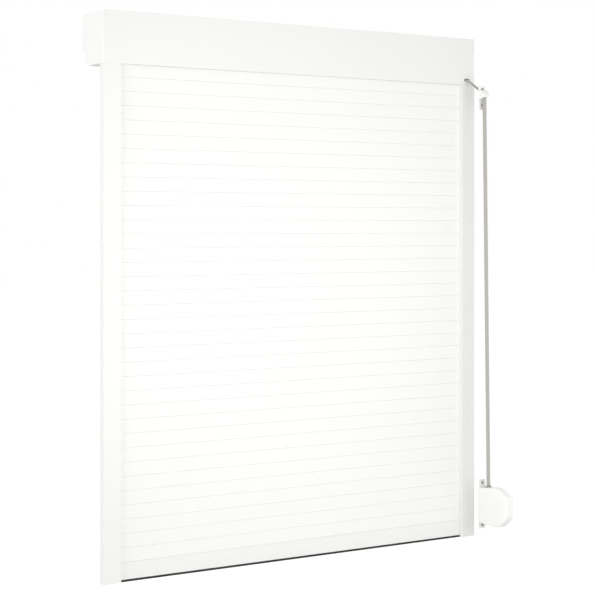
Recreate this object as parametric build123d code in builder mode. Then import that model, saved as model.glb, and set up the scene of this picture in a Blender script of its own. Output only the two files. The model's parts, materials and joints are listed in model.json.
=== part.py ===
from build123d import *
import os
from math import asin, atan2, ceil, cos, degrees, hypot, radians, sin, tan

os.makedirs("parts", exist_ok=True)

# Whole shutter: X runs along its width, Y from the room side outwards, Z up from the rail feet
width = 1200.0
height = 1480.0
box_size = 137.0

# Fits and overruns that several pieces share
snug_gap = 0.2
running_gap = 0.05
free_gap = 0.3
cut_overrun = 1.0

# Box: two folded aluminium profiles with a mouth for the curtain
box_sheet = 1.2
box_corner_radius = 9.0
bevel_height = 52.5
bevel_radius = 28.0
bevel_width = 38.0
cover_seam_drop = 24.0
seam_lap = 8.0
mouth_depth = 20.5
mouth_lip = 4.0
cover_lip = 6.0

# End caps: a bordered plate, a rim inside the sheet, a bearing boss and a stub in the rail
cap_plate = 2.5
cap_border = 3.5
cap_recess = 0.6
cap_rim_depth = 12.0
cap_rim_wall = 1.8
cap_rib = 2.0
cap_rib_depth = 7.0
boss_wall = 3.5
boss_length = 10.0
stub_wall = 2.0
stub_length = 60.0
stub_shoulder = 5.5

# Rails: a channel for the slats beside a closed chamber
rail_width = 50.0
rail_depth = 22.0
rail_wall = 1.5
channel_depth = 16.0
channel_mouth_gap = 0.6
gasket_seat = 5.0
gasket_base = 2.3
gasket_fin = 1.6
seat_tooth = 1.0
seat_tooth_rise = 1.8

# Curtain: hollow slats that hook into each other
slat_pitch = 37.0
slat_thickness = 8.0
slat_set_back = 7.0
slat_insertion = 11.5
slat_entry = 12.0
slat_wall = 0.9
slat_bulge = 1.2
slat_edge = 0.7
slat_play = 0.3
hook_neck = 1.2
hook_head = 2.8
hook_neck_rise = 1.4
hook_head_rise = 1.6
slats_per_node = 3
clip_length = 14.0
clip_flange = 0.8
clip_margin = 6.0

# End slat with its rubber seal and the two stops that meet the box
end_slat_height = 51.5
end_slat_wall = 1.4
seal_height = 6.0
seal_side = 0.4
seal_neck = 2.0
seal_neck_rise = 1.8
seal_head = 3.8
seal_head_rise = 1.8
stop_radius = 7.0
stop_length = 10.0
stop_height = 31.0
stop_inset = 110.0
stop_screw_radius = 2.0
stop_screw_head_radius = 3.6
stop_screw_head = 2.0

# Shaft: octagonal tube between two pins in roller bearings
shaft_offset = 0.5
shaft_flats = 40.0
shaft_wall = 1.0
shaft_left_gap = 30.0
shaft_right_gap = 40.0
plug_length = 42.0
plug_flange_radius = 21.0
plug_flange = 3.0
pin_radius = 6.0
pin_end_gap = 1.5

# Roller bearings
bearing_outer_radius = 14.0
bearing_width = 8.0
bearing_ring_wall = 2.9
race_depth = 1.1
race_width = 4.4
roller_count = 8

# Strap, and the disc that carries its upper coil
strap_offset = 28.0
strap_width = 14.0
strap_thickness = 1.2
disc_clearance = 13.3
disc_flange = 1.5
disc_side_gap = 0.5
disc_core_wall = 2.0
disc_hub_radius = 15.0
disc_hole_radius = 7.0
disc_hole_ring = 30.0
disc_hole_count = 6
disc_flange_rise = 4.0
upper_coil_build = 7.5
disc_screw_radius = 2.0

# Hangers: spring strips from the top slat to the shaft
hanger_count = 3
hanger_inset = 181.5
hanger_strip = 0.8
hanger_width = 20.0
hanger_shoe_width = 40.0
hanger_shoe_rise = 5.5
hanger_rise = 3.0
hanger_bend_radius = 6.0
hanger_landing_radius = 20.0
hanger_grip = 5.0

# Inlet guides between the rail tops and the box
inlet_height = 12.0
inlet_web_height = 4.4
inlet_base = 1.2
inlet_wall = 1.4
inlet_width = 12.5

# Strap outlet in the room wall of the box
outlet_depth = 5.5
outlet_roller_radius = 4.0
outlet_pin_radius = 1.5
outlet_cheek = 1.2
outlet_reach = 12.0
outlet_bar = 1.2
outlet_slot_width = 19.0
outlet_slot_height = 7.0

# Strap guide, on the room side of the window frame
frame_gap = 70.0
guide_plate_width = 24.0
guide_plate_height = 70.0
guide_plate = 3.0
guide_drop = 79.0
guide_screw_spacing = 47.5
guide_screw_foot = 13.0
guide_corner_radius = 5.0
hood_width = 21.0
hood_depth = 18.5
hood_height = 21.0
hood_foot = 35.5
hood_wall = 1.8
hood_slope = 7.0
hood_drop = 12.0
hood_corner_radius = 4.0
guide_roller_depth = 7.5
guide_roller_rise = 42.0
guide_roller_radius = 5.0
guide_pin_radius = 1.5

# Strap winder: a fixed case on the same plane as the guide
winder_foot = 37.0
winder_top_ear = 15.0
winder_plate_width = 24.0
winder_plate = 3.0
winder_screw_inset = 10.0
winder_width = 28.0
winder_case_foot = 17.0
winder_depth = 127.0
winder_height = 112.0
winder_wall = 2.0
winder_edge = 2.4
spool_depth = 66.0
spool_rise = 73.0
spool_flange_radius = 46.0
spool_flange = 1.5
spool_side_gap = 1.0
drum_radius = 27.0
drum_wall = 2.0
spool_hub_radius = 7.5
axle_radius = 4.0
axle_boss_radius = 7.5
axle_boss_length = 1.6
lower_coil_radius = 32.0
spring_thickness = 0.7
spring_pitch = 4.8
spring_turns = 3
spring_width = 10.0
slot_gap = 2.0
slot_liner_wall = 1.2
slot_liner_depth = 6.0
case_boss_radius = 3.6
case_screw_radius = 1.3

# Wood screws and small machine screws
wood_screw_radius = 1.9
wood_shank_radius = 2.1
wood_screw_head_radius = 3.9
wood_screw_head = 2.4
wood_hole_radius = 2.3
guide_screw_length = 9.0
winder_screw_length = 18.0
cover_screw_radius = 1.8
cover_screw_head_radius = 3.4
cover_screw_head = 1.8
cover_screw_length = 6.0
cover_screw_count = 4
cover_screw_inset = 60.0

# Outline of the winder case from its lower back corner, as shares of its depth and height
case_outline_shares = [
    (0.0, 0.0),
    (0.633, 0.0),
    (0.742, 0.036),
    (0.914, 0.179),
    (1.0, 0.321),
    (1.0, 0.732),
    (0.984, 0.83),
    (0.648, 1.0),
    (0.492, 1.0),
    (0.0, 0.92),
]
case_bend_radii_shares = [0.0, 0.3, 0.3, 0.3, 0.25, 0.15, 0.07, 0.25, 0.25, 0.0]
case_boss_place_shares = [(0.09, 0.13), (0.85, 0.26), (0.9, 0.76), (0.09, 0.78)]

# Planes and lengths that follow from the sizes above
half_width = width / 2
box_bottom = height - box_size
profile_half = half_width - cap_plate
rail_inner = half_width - rail_width
channel_end = rail_inner + channel_depth
chamber_start = channel_end + rail_wall
chamber_end = half_width - rail_wall
slat_end = rail_inner + slat_insertion
guide_foot = box_bottom - guide_drop
slat_back = slat_set_back + slat_thickness
slat_body = slat_pitch - slat_play
slat_count = ceil((box_bottom + slat_entry - end_slat_height) / slat_pitch)
hook_centre = slat_set_back + (slat_thickness - slat_bulge) / 2
pocket_lip = hook_neck_rise - 2 * slat_play
pocket_top = hook_neck_rise + hook_head_rise
curtain_top = end_slat_height + slat_count * slat_pitch
strap_centre = half_width - strap_offset
strap_left = strap_centre - strap_width / 2
strap_right = strap_centre + strap_width / 2
shaft_depth = box_size / 2 - shaft_offset
shaft_centre = (shaft_depth, box_bottom + shaft_depth)
shaft_left_end = half_width - shaft_left_gap
shaft_right_end = half_width - shaft_right_gap
disc_flange_radius = box_size / 2 - box_sheet - disc_clearance
upper_coil_radius = disc_flange_radius - disc_flange_rise
disc_core_radius = upper_coil_radius - upper_coil_build - free_gap
bearing_start = profile_half - pin_end_gap - bearing_width
coil_gap = free_gap + strap_thickness / 2

# Strap run: the round pieces that it passes, each as a centre in (Y, Z) and the strap's radius there
coil_reach = upper_coil_radius + coil_gap
outlet_reach_radius = outlet_roller_radius + coil_gap
guide_reach_radius = guide_roller_radius + coil_gap
spool_reach = lower_coil_radius + coil_gap
outlet_centre = (outlet_depth, shaft_centre[1] - coil_reach - outlet_reach_radius)
guide_centre = (-frame_gap - guide_roller_depth, guide_foot + guide_roller_rise)
spool_centre = (-frame_gap - spool_depth, winder_foot + spool_rise)


def patch(low, high, mode=Mode.ADD):
    """Draw the upright rectangle between two opposite corners on the open sketch."""
    with Locations(low):
        Rectangle(high[0] - low[0], high[1] - low[1], align=(Align.MIN, Align.MIN), mode=mode)


def block(low, high, mode=Mode.ADD):
    """Add or cut the upright box between two opposite corners of the open part."""
    sizes = [top - bottom for bottom, top in zip(low, high)]
    with Locations(low):
        Box(*sizes, align=(Align.MIN, Align.MIN, Align.MIN), mode=mode)


def disc(centre, radius, start, end, mode=Mode.ADD):
    """Add or cut a cylinder along X between two places, round a centre in (Y, Z)."""
    with BuildSketch(Plane.YZ.offset(start)) as face:
        with Locations(centre):
            Circle(radius)
    extrude(face.sketch, amount=end - start, mode=mode)


def peg(place, radius, start, end, mode=Mode.ADD):
    """Add or cut a cylinder along Y between two depths, round a place in (X, Z)."""
    with BuildSketch(Plane.XZ.offset(-start)) as face:
        with Locations(place):
            Circle(radius)
    extrude(face.sketch, amount=start - end, mode=mode)


def save(builder, name):
    """Label a finished piece and write it to its file."""
    builder.part.label = name
    export_step(builder.part, "parts/" + name + ".step")


def tangent_run(start, start_side, end, end_side):
    """Return both ends of the straight strap from one round piece to the next.

    A side is the strap's radius, positive where the strap runs left of the centre.
    """
    across = end[0] - start[0]
    rise = end[1] - start[1]
    heading = atan2(rise, across) - asin((start_side - end_side) / hypot(across, rise))
    left = (-sin(heading), cos(heading))
    first = (start[0] + start_side * left[0], start[1] + start_side * left[1])
    last = (end[0] + end_side * left[0], end[1] + end_side * left[1])
    return first, last


def bend_between(start, end, centre, radius):
    """Return the middle point of the short arc from one point to another round a centre."""
    across = (start[0] + end[0]) / 2 - centre[0]
    rise = (start[1] + end[1]) / 2 - centre[1]
    reach = hypot(across, rise)
    return (centre[0] + radius * across / reach, centre[1] + radius * rise / reach)


# Box

with BuildSketch() as box_outline:
    with BuildLine():
        FilletPolyline(
            (0, box_bottom),
            (box_size - bevel_width, box_bottom),
            (box_size, box_bottom + bevel_height),
            (box_size, height),
            (0, height),
            radius=[0, 0, bevel_radius, box_corner_radius, 0],
            close=True,
        )
    make_face()

seam = height - cover_seam_drop
lap_outside = box_size - box_sheet - free_gap
lap_inside = lap_outside - box_sheet
sheet_top = box_bottom + box_sheet
cover_screw_height = seam - seam_lap / 2
cover_screw_pitch = 2 * (profile_half - cover_screw_inset) / (cover_screw_count - 1)
cover_screw_places = [
    (-profile_half + cover_screw_inset + index * cover_screw_pitch, cover_screw_height)
    for index in range(cover_screw_count)
]

# Room wall, top and upper outside edge in one profile, with a lip at the mouth and a lap at the seam
with BuildPart() as box_room_profile:
    with BuildSketch(Plane.YZ.offset(-profile_half)):
        add(box_outline.sketch)
        offset(box_outline.sketch, amount=-box_sheet, mode=Mode.SUBTRACT)
        patch((box_sheet, box_bottom - cut_overrun), (box_size + cut_overrun, seam), mode=Mode.SUBTRACT)
        patch((0, box_bottom), (mouth_lip, sheet_top))
        patch((lap_inside, seam), (box_size, seam + box_sheet))
        patch((lap_inside, seam - seam_lap), (lap_outside, seam + box_sheet))
    extrude(amount=2 * profile_half)
    block(
        (strap_centre - outlet_slot_width / 2, -cut_overrun, outlet_centre[1] - cut_overrun),
        (
            strap_centre + outlet_slot_width / 2,
            box_sheet + cut_overrun,
            outlet_centre[1] - cut_overrun + outlet_slot_height,
        ),
        mode=Mode.SUBTRACT,
    )
    for place in cover_screw_places:
        peg(
            place,
            cover_screw_radius + running_gap,
            lap_inside - cut_overrun,
            lap_outside + cut_overrun,
            mode=Mode.SUBTRACT,
        )
save(box_room_profile, "box_room_profile")

# Outside wall, bend, slope and floor, which come off for access to the shaft
with BuildPart() as inspection_cover:
    with BuildSketch(Plane.YZ.offset(-profile_half)):
        add(box_outline.sketch)
        offset(box_outline.sketch, amount=-box_sheet, mode=Mode.SUBTRACT)
        patch((-cut_overrun, box_bottom - cut_overrun), (mouth_depth, height), mode=Mode.SUBTRACT)
        patch((0, seam - free_gap), (box_size + cut_overrun, height + cut_overrun), mode=Mode.SUBTRACT)
        patch((mouth_depth, box_bottom), (mouth_depth + box_sheet, box_bottom + cover_lip))
    extrude(amount=2 * profile_half)
    for place in cover_screw_places:
        peg(
            place,
            cover_screw_radius + snug_gap,
            box_size - box_sheet - cut_overrun,
            box_size + cut_overrun,
            mode=Mode.SUBTRACT,
        )
save(inspection_cover, "inspection_cover")

with BuildPart() as cover_screws:
    for place in cover_screw_places:
        peg(place, cover_screw_head_radius, box_size, box_size + cover_screw_head)
        peg(place, cover_screw_radius, box_size + cover_screw_head - cover_screw_length, box_size)
save(cover_screws, "cover_screws")

# End caps

rim_outset = box_sheet + snug_gap
boss_radius = bearing_outer_radius + boss_wall
stub_left = chamber_start + stub_wall
stub_front = rail_wall + snug_gap
stub_back = rail_depth - rail_wall - snug_gap

with BuildPart() as right_end_cap:
    with BuildSketch(Plane.YZ.offset(profile_half)):
        add(box_outline.sketch)
    extrude(amount=cap_plate)
    with BuildSketch(Plane.YZ.offset(half_width - cap_recess)):
        offset(box_outline.sketch, amount=-cap_border)
    extrude(amount=cap_recess, mode=Mode.SUBTRACT)
    # The rim stands inside the sheet and stays open over the mouth
    with BuildSketch(Plane.YZ.offset(profile_half - cap_rim_depth)):
        offset(box_outline.sketch, amount=-rim_outset)
        offset(box_outline.sketch, amount=-rim_outset - cap_rim_wall, mode=Mode.SUBTRACT)
        patch(
            (lap_inside - snug_gap, seam - seam_lap - snug_gap),
            (box_size, seam + box_sheet + snug_gap),
            mode=Mode.SUBTRACT,
        )
        patch(
            (0, box_bottom),
            (mouth_depth + box_sheet + snug_gap, box_bottom + cover_lip + snug_gap),
            mode=Mode.SUBTRACT,
        )
    extrude(amount=cap_rim_depth)
    # Ribs from the bearing boss to the rim
    with BuildSketch(Plane.YZ.offset(profile_half - cap_rib_depth)):
        with Locations(shaft_centre):
            Rectangle(box_size, cap_rib)
            Rectangle(cap_rib, box_size)
        offset(box_outline.sketch, amount=-rim_outset - cap_rim_wall / 2, mode=Mode.INTERSECT)
    extrude(amount=cap_rib_depth)
    disc(shaft_centre, boss_radius, profile_half - boss_length, profile_half)
    disc(
        shaft_centre,
        bearing_outer_radius + running_gap,
        profile_half - boss_length - cut_overrun,
        profile_half - snug_gap,
        mode=Mode.SUBTRACT,
    )
    # The shoulder carries the stub that stands in the rail's chamber
    block(
        (stub_left, mouth_lip + snug_gap, box_bottom),
        (profile_half, stub_back, box_bottom + stub_shoulder),
    )
    block(
        (stub_left, stub_front, box_bottom - stub_length),
        (chamber_end - stub_wall, stub_back, box_bottom - snug_gap),
    )
    block(
        (stub_left, mouth_lip + snug_gap, box_bottom - stub_wall),
        (chamber_end - stub_wall, stub_back, box_bottom),
    )
    block(
        (
            stub_left + stub_wall,
            stub_front + stub_wall,
            box_bottom - stub_length - cut_overrun,
        ),
        (chamber_end - 2 * stub_wall, stub_back - stub_wall, box_bottom - stub_wall),
        mode=Mode.SUBTRACT,
    )
save(right_end_cap, "right_end_cap")

with BuildPart() as left_end_cap:
    mirror(right_end_cap.part, about=Plane.YZ)
save(left_end_cap, "left_end_cap")

# Rails

seat_end = rail_inner + rail_wall + gasket_seat
mouth_front = slat_set_back - channel_mouth_gap
mouth_back = slat_back + channel_mouth_gap

with BuildPart() as right_rail:
    with BuildSketch():
        patch((rail_inner, 0), (half_width, rail_depth))
        patch((chamber_start, rail_wall), (chamber_end, rail_depth - rail_wall), mode=Mode.SUBTRACT)
        patch((rail_inner + rail_wall, rail_wall), (channel_end, rail_depth - rail_wall), mode=Mode.SUBTRACT)
        patch((rail_inner - cut_overrun, mouth_front), (channel_end, mouth_back), mode=Mode.SUBTRACT)
        patch((seat_end, rail_wall), (seat_end + seat_tooth, rail_wall + seat_tooth_rise))
        patch(
            (seat_end, rail_depth - rail_wall - seat_tooth_rise),
            (seat_end + seat_tooth, rail_depth - rail_wall),
        )
    extrude(amount=box_bottom)
save(right_rail, "right_rail")

with BuildPart() as left_rail:
    mirror(right_rail.part, about=Plane.YZ)
save(left_rail, "left_rail")

# One fin seals against each face of the slats, in both rails
gasket_left = rail_inner + rail_wall + snug_gap
gasket_right = seat_end - snug_gap
fin_left = (gasket_left + gasket_right - gasket_fin) / 2
gasket_front = rail_wall + snug_gap
gasket_back = rail_depth - rail_wall - snug_gap

with BuildPart() as rail_gaskets:
    with BuildSketch():
        patch((gasket_left, gasket_front), (gasket_right, gasket_front + gasket_base))
        patch((fin_left, gasket_front), (fin_left + gasket_fin, slat_set_back - free_gap))
        patch((gasket_left, gasket_back - gasket_base), (gasket_right, gasket_back))
        patch((fin_left, slat_back + free_gap), (fin_left + gasket_fin, gasket_back))
    extrude(amount=box_bottom - free_gap)
    mirror(about=Plane.YZ)
save(rail_gaskets, "rail_gaskets")

# Inlet guides lead the slats from the box into the rail channels
inlet_left = slat_end + clip_flange + free_gap - inlet_width
inlet_right = slat_end + clip_flange + free_gap
inlet_front = box_sheet + snug_gap
inlet_back = mouth_depth - snug_gap

with BuildPart() as inlet_guides:
    with BuildSketch(Plane.XY.offset(sheet_top + free_gap)):
        patch((inlet_left, inlet_front), (inlet_right + inlet_wall, inlet_back))
        patch(
            (inlet_left - cut_overrun, slat_set_back - channel_mouth_gap),
            (inlet_right, slat_back + channel_mouth_gap),
            mode=Mode.SUBTRACT,
        )
    extrude(amount=inlet_base)
    with BuildSketch(Plane.XY.offset(sheet_top + free_gap)):
        patch(
            (inlet_right, mouth_front - inlet_wall),
            (inlet_right + inlet_wall, mouth_back + inlet_wall),
        )
    extrude(amount=inlet_web_height)
    with BuildSketch(Plane.XY.offset(sheet_top + free_gap)):
        patch((inlet_left, mouth_front - inlet_wall), (inlet_right, mouth_front))
        patch((inlet_left, mouth_back), (inlet_right, mouth_back + inlet_wall))
    extrude(amount=inlet_height)
    mirror(about=Plane.YZ)
save(inlet_guides, "inlet_guides")

# Curtain


def draw_slat_hook(top):
    """Draw the hook that stands on a slat's upper edge."""
    patch((hook_centre - hook_neck / 2, top - slat_wall), (hook_centre + hook_neck / 2, top + hook_neck_rise))
    patch(
        (hook_centre - hook_head / 2, top + hook_neck_rise),
        (hook_centre + hook_head / 2, top + hook_neck_rise + hook_head_rise),
    )


def cut_slat_pocket(foot):
    """Cut the pocket in a lower edge that takes the hook of the slat below."""
    pocket_neck = hook_neck / 2 + slat_play
    pocket_half = hook_head / 2 + slat_play
    patch(
        (hook_centre - pocket_neck, foot - cut_overrun),
        (hook_centre + pocket_neck, foot + pocket_top),
        mode=Mode.SUBTRACT,
    )
    patch(
        (hook_centre - pocket_half, foot + pocket_lip),
        (hook_centre + pocket_half, foot + pocket_top),
        mode=Mode.SUBTRACT,
    )


def draw_slat_body(foot, top):
    """Draw a slat's closed outline, flat to the room and arched to the outside."""
    edge_back = slat_back - slat_bulge
    with BuildLine() as outline:
        Polyline(
            (edge_back, foot),
            (slat_set_back + slat_edge, foot),
            (slat_set_back, foot + slat_edge),
            (slat_set_back, top - slat_edge),
            (slat_set_back + slat_edge, top),
            (edge_back, top),
        )
        ThreePointArc((edge_back, top), (slat_back, (foot + top) / 2), (edge_back, foot))
    make_face(outline.edges())


def cut_slat_chamber(foot, top, wall):
    """Cut the hollow of a slat between two heights, inside walls of one thickness."""
    chamber_back = slat_back - slat_bulge - wall
    with BuildLine() as outline:
        Polyline(
            (chamber_back, foot),
            (slat_set_back + wall, foot),
            (slat_set_back + wall, top),
            (chamber_back, top),
        )
        ThreePointArc((chamber_back, top), (slat_back - wall, (foot + top) / 2), (chamber_back, foot))
    make_face(outline.edges(), mode=Mode.SUBTRACT)


slat_chamber_foot = pocket_top + slat_wall
slat_chamber_top = slat_body - slat_wall
slat_feet = [end_slat_height + index * slat_pitch for index in range(slat_count)]

for first in range(0, slat_count, slats_per_node):
    last = min(first + slats_per_node, slat_count)
    with BuildPart() as slats:
        with BuildSketch(Plane.YZ.offset(-slat_end)):
            for foot in slat_feet[first:last]:
                draw_slat_body(foot, foot + slat_body)
                draw_slat_hook(foot + slat_body)
                cut_slat_pocket(foot)
                cut_slat_chamber(foot + slat_chamber_foot, foot + slat_chamber_top, slat_wall)
        extrude(amount=2 * slat_end)
    save(slats, f"slats_{first + 1:02d}_{last:02d}")

# Nylon clips in the ends of every second slat keep the slats from drifting sideways
clip_front = slat_set_back + slat_wall + snug_gap
clip_back = slat_back - slat_bulge - slat_wall - snug_gap

with BuildPart() as slat_end_clips:
    for foot in slat_feet[::2]:
        clip_foot = foot + slat_chamber_foot + clip_margin
        clip_top = foot + slat_chamber_top - clip_margin
        block((slat_end - clip_length, clip_front, clip_foot), (slat_end, clip_back, clip_top))
        block(
            (slat_end, clip_front, clip_foot - clip_margin / 2),
            (slat_end + clip_flange, clip_back, clip_top + clip_margin / 2),
        )
    mirror(about=Plane.YZ)
save(slat_end_clips, "slat_end_clips")

end_slat_body = end_slat_height - slat_play
seal_centre = slat_set_back + slat_thickness / 2
seal_lip = seal_neck_rise - 2 * snug_gap
seal_pocket_top = seal_height + seal_neck_rise + seal_head_rise
end_chamber_foot = seal_pocket_top + end_slat_wall
stop_places = [(side * (slat_end - stop_inset), stop_height) for side in (-1, 1)]

with BuildPart() as end_slat:
    with BuildSketch(Plane.YZ.offset(-slat_end)):
        patch((slat_set_back, seal_height), (slat_back, end_slat_body - slat_edge))
        patch((slat_set_back + slat_edge, seal_height), (slat_back - slat_edge, end_slat_body))
        draw_slat_hook(end_slat_body)
        patch(
            (slat_set_back + end_slat_wall, end_chamber_foot),
            (slat_back - end_slat_wall, end_slat_body - end_slat_wall),
            mode=Mode.SUBTRACT,
        )
        patch(
            (seal_centre - seal_neck / 2 - snug_gap, seal_height - cut_overrun),
            (seal_centre + seal_neck / 2 + snug_gap, seal_pocket_top),
            mode=Mode.SUBTRACT,
        )
        patch(
            (seal_centre - seal_head / 2 - snug_gap, seal_height + seal_lip),
            (seal_centre + seal_head / 2 + snug_gap, seal_pocket_top),
            mode=Mode.SUBTRACT,
        )
    extrude(amount=2 * slat_end)
    for place in stop_places:
        peg(
            place,
            stop_screw_radius + snug_gap,
            slat_set_back + end_slat_wall + cut_overrun,
            slat_back + cut_overrun,
            mode=Mode.SUBTRACT,
        )
save(end_slat, "end_slat")

with BuildPart() as end_slat_seal:
    with BuildSketch(Plane.YZ.offset(-slat_end)):
        patch((slat_set_back + seal_side, 0), (slat_back - seal_side, seal_height - snug_gap))
        patch(
            (seal_centre - seal_neck / 2, seal_height - snug_gap),
            (seal_centre + seal_neck / 2, seal_height + seal_neck_rise),
        )
        patch(
            (seal_centre - seal_head / 2, seal_height + seal_neck_rise - snug_gap),
            (seal_centre + seal_head / 2, seal_pocket_top - snug_gap),
        )
    extrude(amount=2 * slat_end)
save(end_slat_seal, "end_slat_seal")

with BuildPart() as lift_stops:
    for place in stop_places:
        peg(place, stop_radius, slat_back + snug_gap, slat_back + stop_length)
        peg(
            place,
            stop_screw_radius + snug_gap,
            slat_back,
            slat_back + stop_length + cut_overrun,
            mode=Mode.SUBTRACT,
        )
save(lift_stops, "lift_stops")

with BuildPart() as stop_screws:
    for place in stop_places:
        peg(place, stop_screw_radius, slat_back - end_slat_wall, slat_back + stop_length + stop_screw_head)
        peg(
            place,
            stop_screw_head_radius,
            slat_back + stop_length,
            slat_back + stop_length + stop_screw_head,
        )
save(stop_screws, "stop_screws")

# Shaft

octagon_radius = shaft_flats / 2 / cos(radians(22.5))
bore_radius = octagon_radius - shaft_wall / cos(radians(22.5))
plug_octagon_radius = bore_radius - snug_gap

with BuildPart() as octagonal_shaft:
    with BuildSketch(Plane.YZ.offset(-shaft_left_end)):
        with Locations(shaft_centre):
            RegularPolygon(octagon_radius, side_count=8, rotation=22.5)
            RegularPolygon(bore_radius, side_count=8, rotation=22.5, mode=Mode.SUBTRACT)
    extrude(amount=shaft_left_end + shaft_right_end)
save(octagonal_shaft, "octagonal_shaft")


def octagon_plug(start, end):
    """Add the eight-sided plug that fills the shaft's bore between two places."""
    with BuildSketch(Plane.YZ.offset(start)) as octagon:
        with Locations(shaft_centre):
            RegularPolygon(plug_octagon_radius, side_count=8, rotation=22.5)
    extrude(octagon.sketch, amount=end - start)


pin_end = profile_half - pin_end_gap

with BuildPart() as shaft_end_plug:
    octagon_plug(-shaft_left_end, -shaft_left_end + plug_length)
    disc(shaft_centre, plug_flange_radius, -shaft_left_end - plug_flange, -shaft_left_end)
    disc(shaft_centre, pin_radius, -pin_end, -shaft_left_end - plug_flange)
save(shaft_end_plug, "shaft_end_plug")

disc_left = strap_left - disc_side_gap - disc_flange
disc_right = strap_right + disc_side_gap + disc_flange

with BuildPart() as strap_disc:
    disc(shaft_centre, disc_flange_radius, disc_left, disc_left + disc_flange)
    disc(shaft_centre, disc_core_radius, disc_left, disc_right)
    disc(shaft_centre, disc_flange_radius, disc_right - disc_flange, disc_right)
    disc(
        shaft_centre,
        disc_core_radius - disc_core_wall,
        disc_left + disc_flange,
        disc_right + cut_overrun,
        mode=Mode.SUBTRACT,
    )
    disc(shaft_centre, disc_hub_radius, disc_left, disc_right)
    disc(shaft_centre, pin_radius, disc_right, pin_end)
    with BuildSketch(Plane.YZ.offset(disc_left - cut_overrun)):
        with Locations(shaft_centre):
            with PolarLocations(disc_hole_ring, disc_hole_count):
                Circle(disc_hole_radius)
    extrude(amount=disc_flange + 2 * cut_overrun, mode=Mode.SUBTRACT)
    octagon_plug(shaft_right_end - plug_length, shaft_right_end)
    disc(shaft_centre, disc_hub_radius, shaft_right_end, disc_left)
save(strap_disc, "strap_disc")

with BuildPart() as upper_strap_coil:
    disc(shaft_centre, upper_coil_radius, strap_left, strap_right)
    disc(
        shaft_centre,
        disc_core_radius + free_gap,
        strap_left - cut_overrun,
        strap_right + cut_overrun,
        mode=Mode.SUBTRACT,
    )
save(upper_strap_coil, "upper_strap_coil")

with BuildPart() as shaft_screws:
    for place in (shaft_right_end - plug_length / 2, -shaft_left_end + plug_length / 2):
        with BuildSketch(Plane.XY.offset(shaft_centre[1] + shaft_flats / 2)):
            with Locations((place, shaft_centre[0])):
                Circle(2 * disc_screw_radius)
        extrude(amount=disc_screw_radius)
save(shaft_screws, "shaft_screws")

# Roller bearings

race_outer = bearing_outer_radius - bearing_ring_wall
race_inner = pin_radius + bearing_ring_wall
roller_ring = (race_outer + race_inner) / 2
roller_radius = roller_ring - race_inner + race_depth - free_gap
race_start = bearing_start + (bearing_width - race_width) / 2

with BuildPart() as bearing_outer_rings:
    disc(shaft_centre, bearing_outer_radius, bearing_start, bearing_start + bearing_width)
    disc(
        shaft_centre,
        race_outer,
        bearing_start - cut_overrun,
        bearing_start + bearing_width + cut_overrun,
        mode=Mode.SUBTRACT,
    )
    disc(shaft_centre, race_outer + race_depth, race_start, race_start + race_width, mode=Mode.SUBTRACT)
    mirror(about=Plane.YZ)
save(bearing_outer_rings, "bearing_outer_rings")

with BuildPart() as bearing_inner_rings:
    disc(shaft_centre, race_inner - race_depth, bearing_start, bearing_start + bearing_width)
    disc(shaft_centre, race_inner, bearing_start, race_start)
    disc(shaft_centre, race_inner, race_start + race_width, bearing_start + bearing_width)
    disc(
        shaft_centre,
        pin_radius + running_gap,
        bearing_start - cut_overrun,
        bearing_start + bearing_width + cut_overrun,
        mode=Mode.SUBTRACT,
    )
    mirror(about=Plane.YZ)
save(bearing_inner_rings, "bearing_inner_rings")

with BuildPart() as bearing_rollers:
    for index in range(roller_count):
        angle = radians(index * 360 / roller_count)
        roller_centre = (
            shaft_centre[0] + roller_ring * cos(angle),
            shaft_centre[1] + roller_ring * sin(angle),
        )
        disc(roller_centre, roller_radius, race_start + free_gap, race_start + race_width - free_gap)
    mirror(about=Plane.YZ)
save(bearing_rollers, "bearing_rollers")

# Hangers

flat_reach = shaft_flats / 2 + free_gap + hanger_strip / 2
flat_turn = radians(45)
flat_half = shaft_flats / 2 * tan(radians(22.5))
flat_middle = (shaft_centre[0] - flat_reach * cos(flat_turn), shaft_centre[1] + flat_reach * sin(flat_turn))
landing = (
    flat_middle[0] - flat_half * cos(flat_turn),
    flat_middle[1] - flat_half * sin(flat_turn),
)
grip_end = (
    flat_middle[0] + hanger_grip * cos(flat_turn),
    flat_middle[1] + hanger_grip * sin(flat_turn),
)
shoe_half = hook_head / 2 + slat_play + slat_wall
shoe_top = curtain_top + hanger_shoe_rise
hanger_spacing = 2 * (slat_end - hanger_inset) / (hanger_count - 1)
hanger_places = [(index - (hanger_count - 1) / 2) * hanger_spacing for index in range(hanger_count)]

with BuildPart() as hangers:
    for place in hanger_places:
        with BuildSketch(Plane.YZ.offset(place - hanger_shoe_width / 2)):
            patch((hook_centre - shoe_half, curtain_top), (hook_centre + shoe_half, shoe_top))
            cut_slat_pocket(curtain_top)
        extrude(amount=hanger_shoe_width)
        with BuildSketch(Plane.YZ.offset(place - hanger_width / 2)):
            with BuildLine():
                FilletPolyline(
                    (hook_centre, shoe_top - slat_wall),
                    (hook_centre, shoe_top + hanger_rise),
                    landing,
                    grip_end,
                    radius=[hanger_bend_radius, hanger_landing_radius],
                )
            trace(line_width=hanger_strip)
        extrude(amount=hanger_width)
save(hangers, "hangers")

# Strap outlet

outlet_left = strap_left - 2 * free_gap - outlet_cheek
outlet_right = strap_right + 2 * free_gap + outlet_cheek
outlet_front = box_sheet + snug_gap
outlet_low = outlet_centre[1] - outlet_roller_radius - 2 * free_gap
outlet_high = outlet_centre[1] + outlet_reach_radius + strap_thickness + 2 * free_gap

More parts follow.
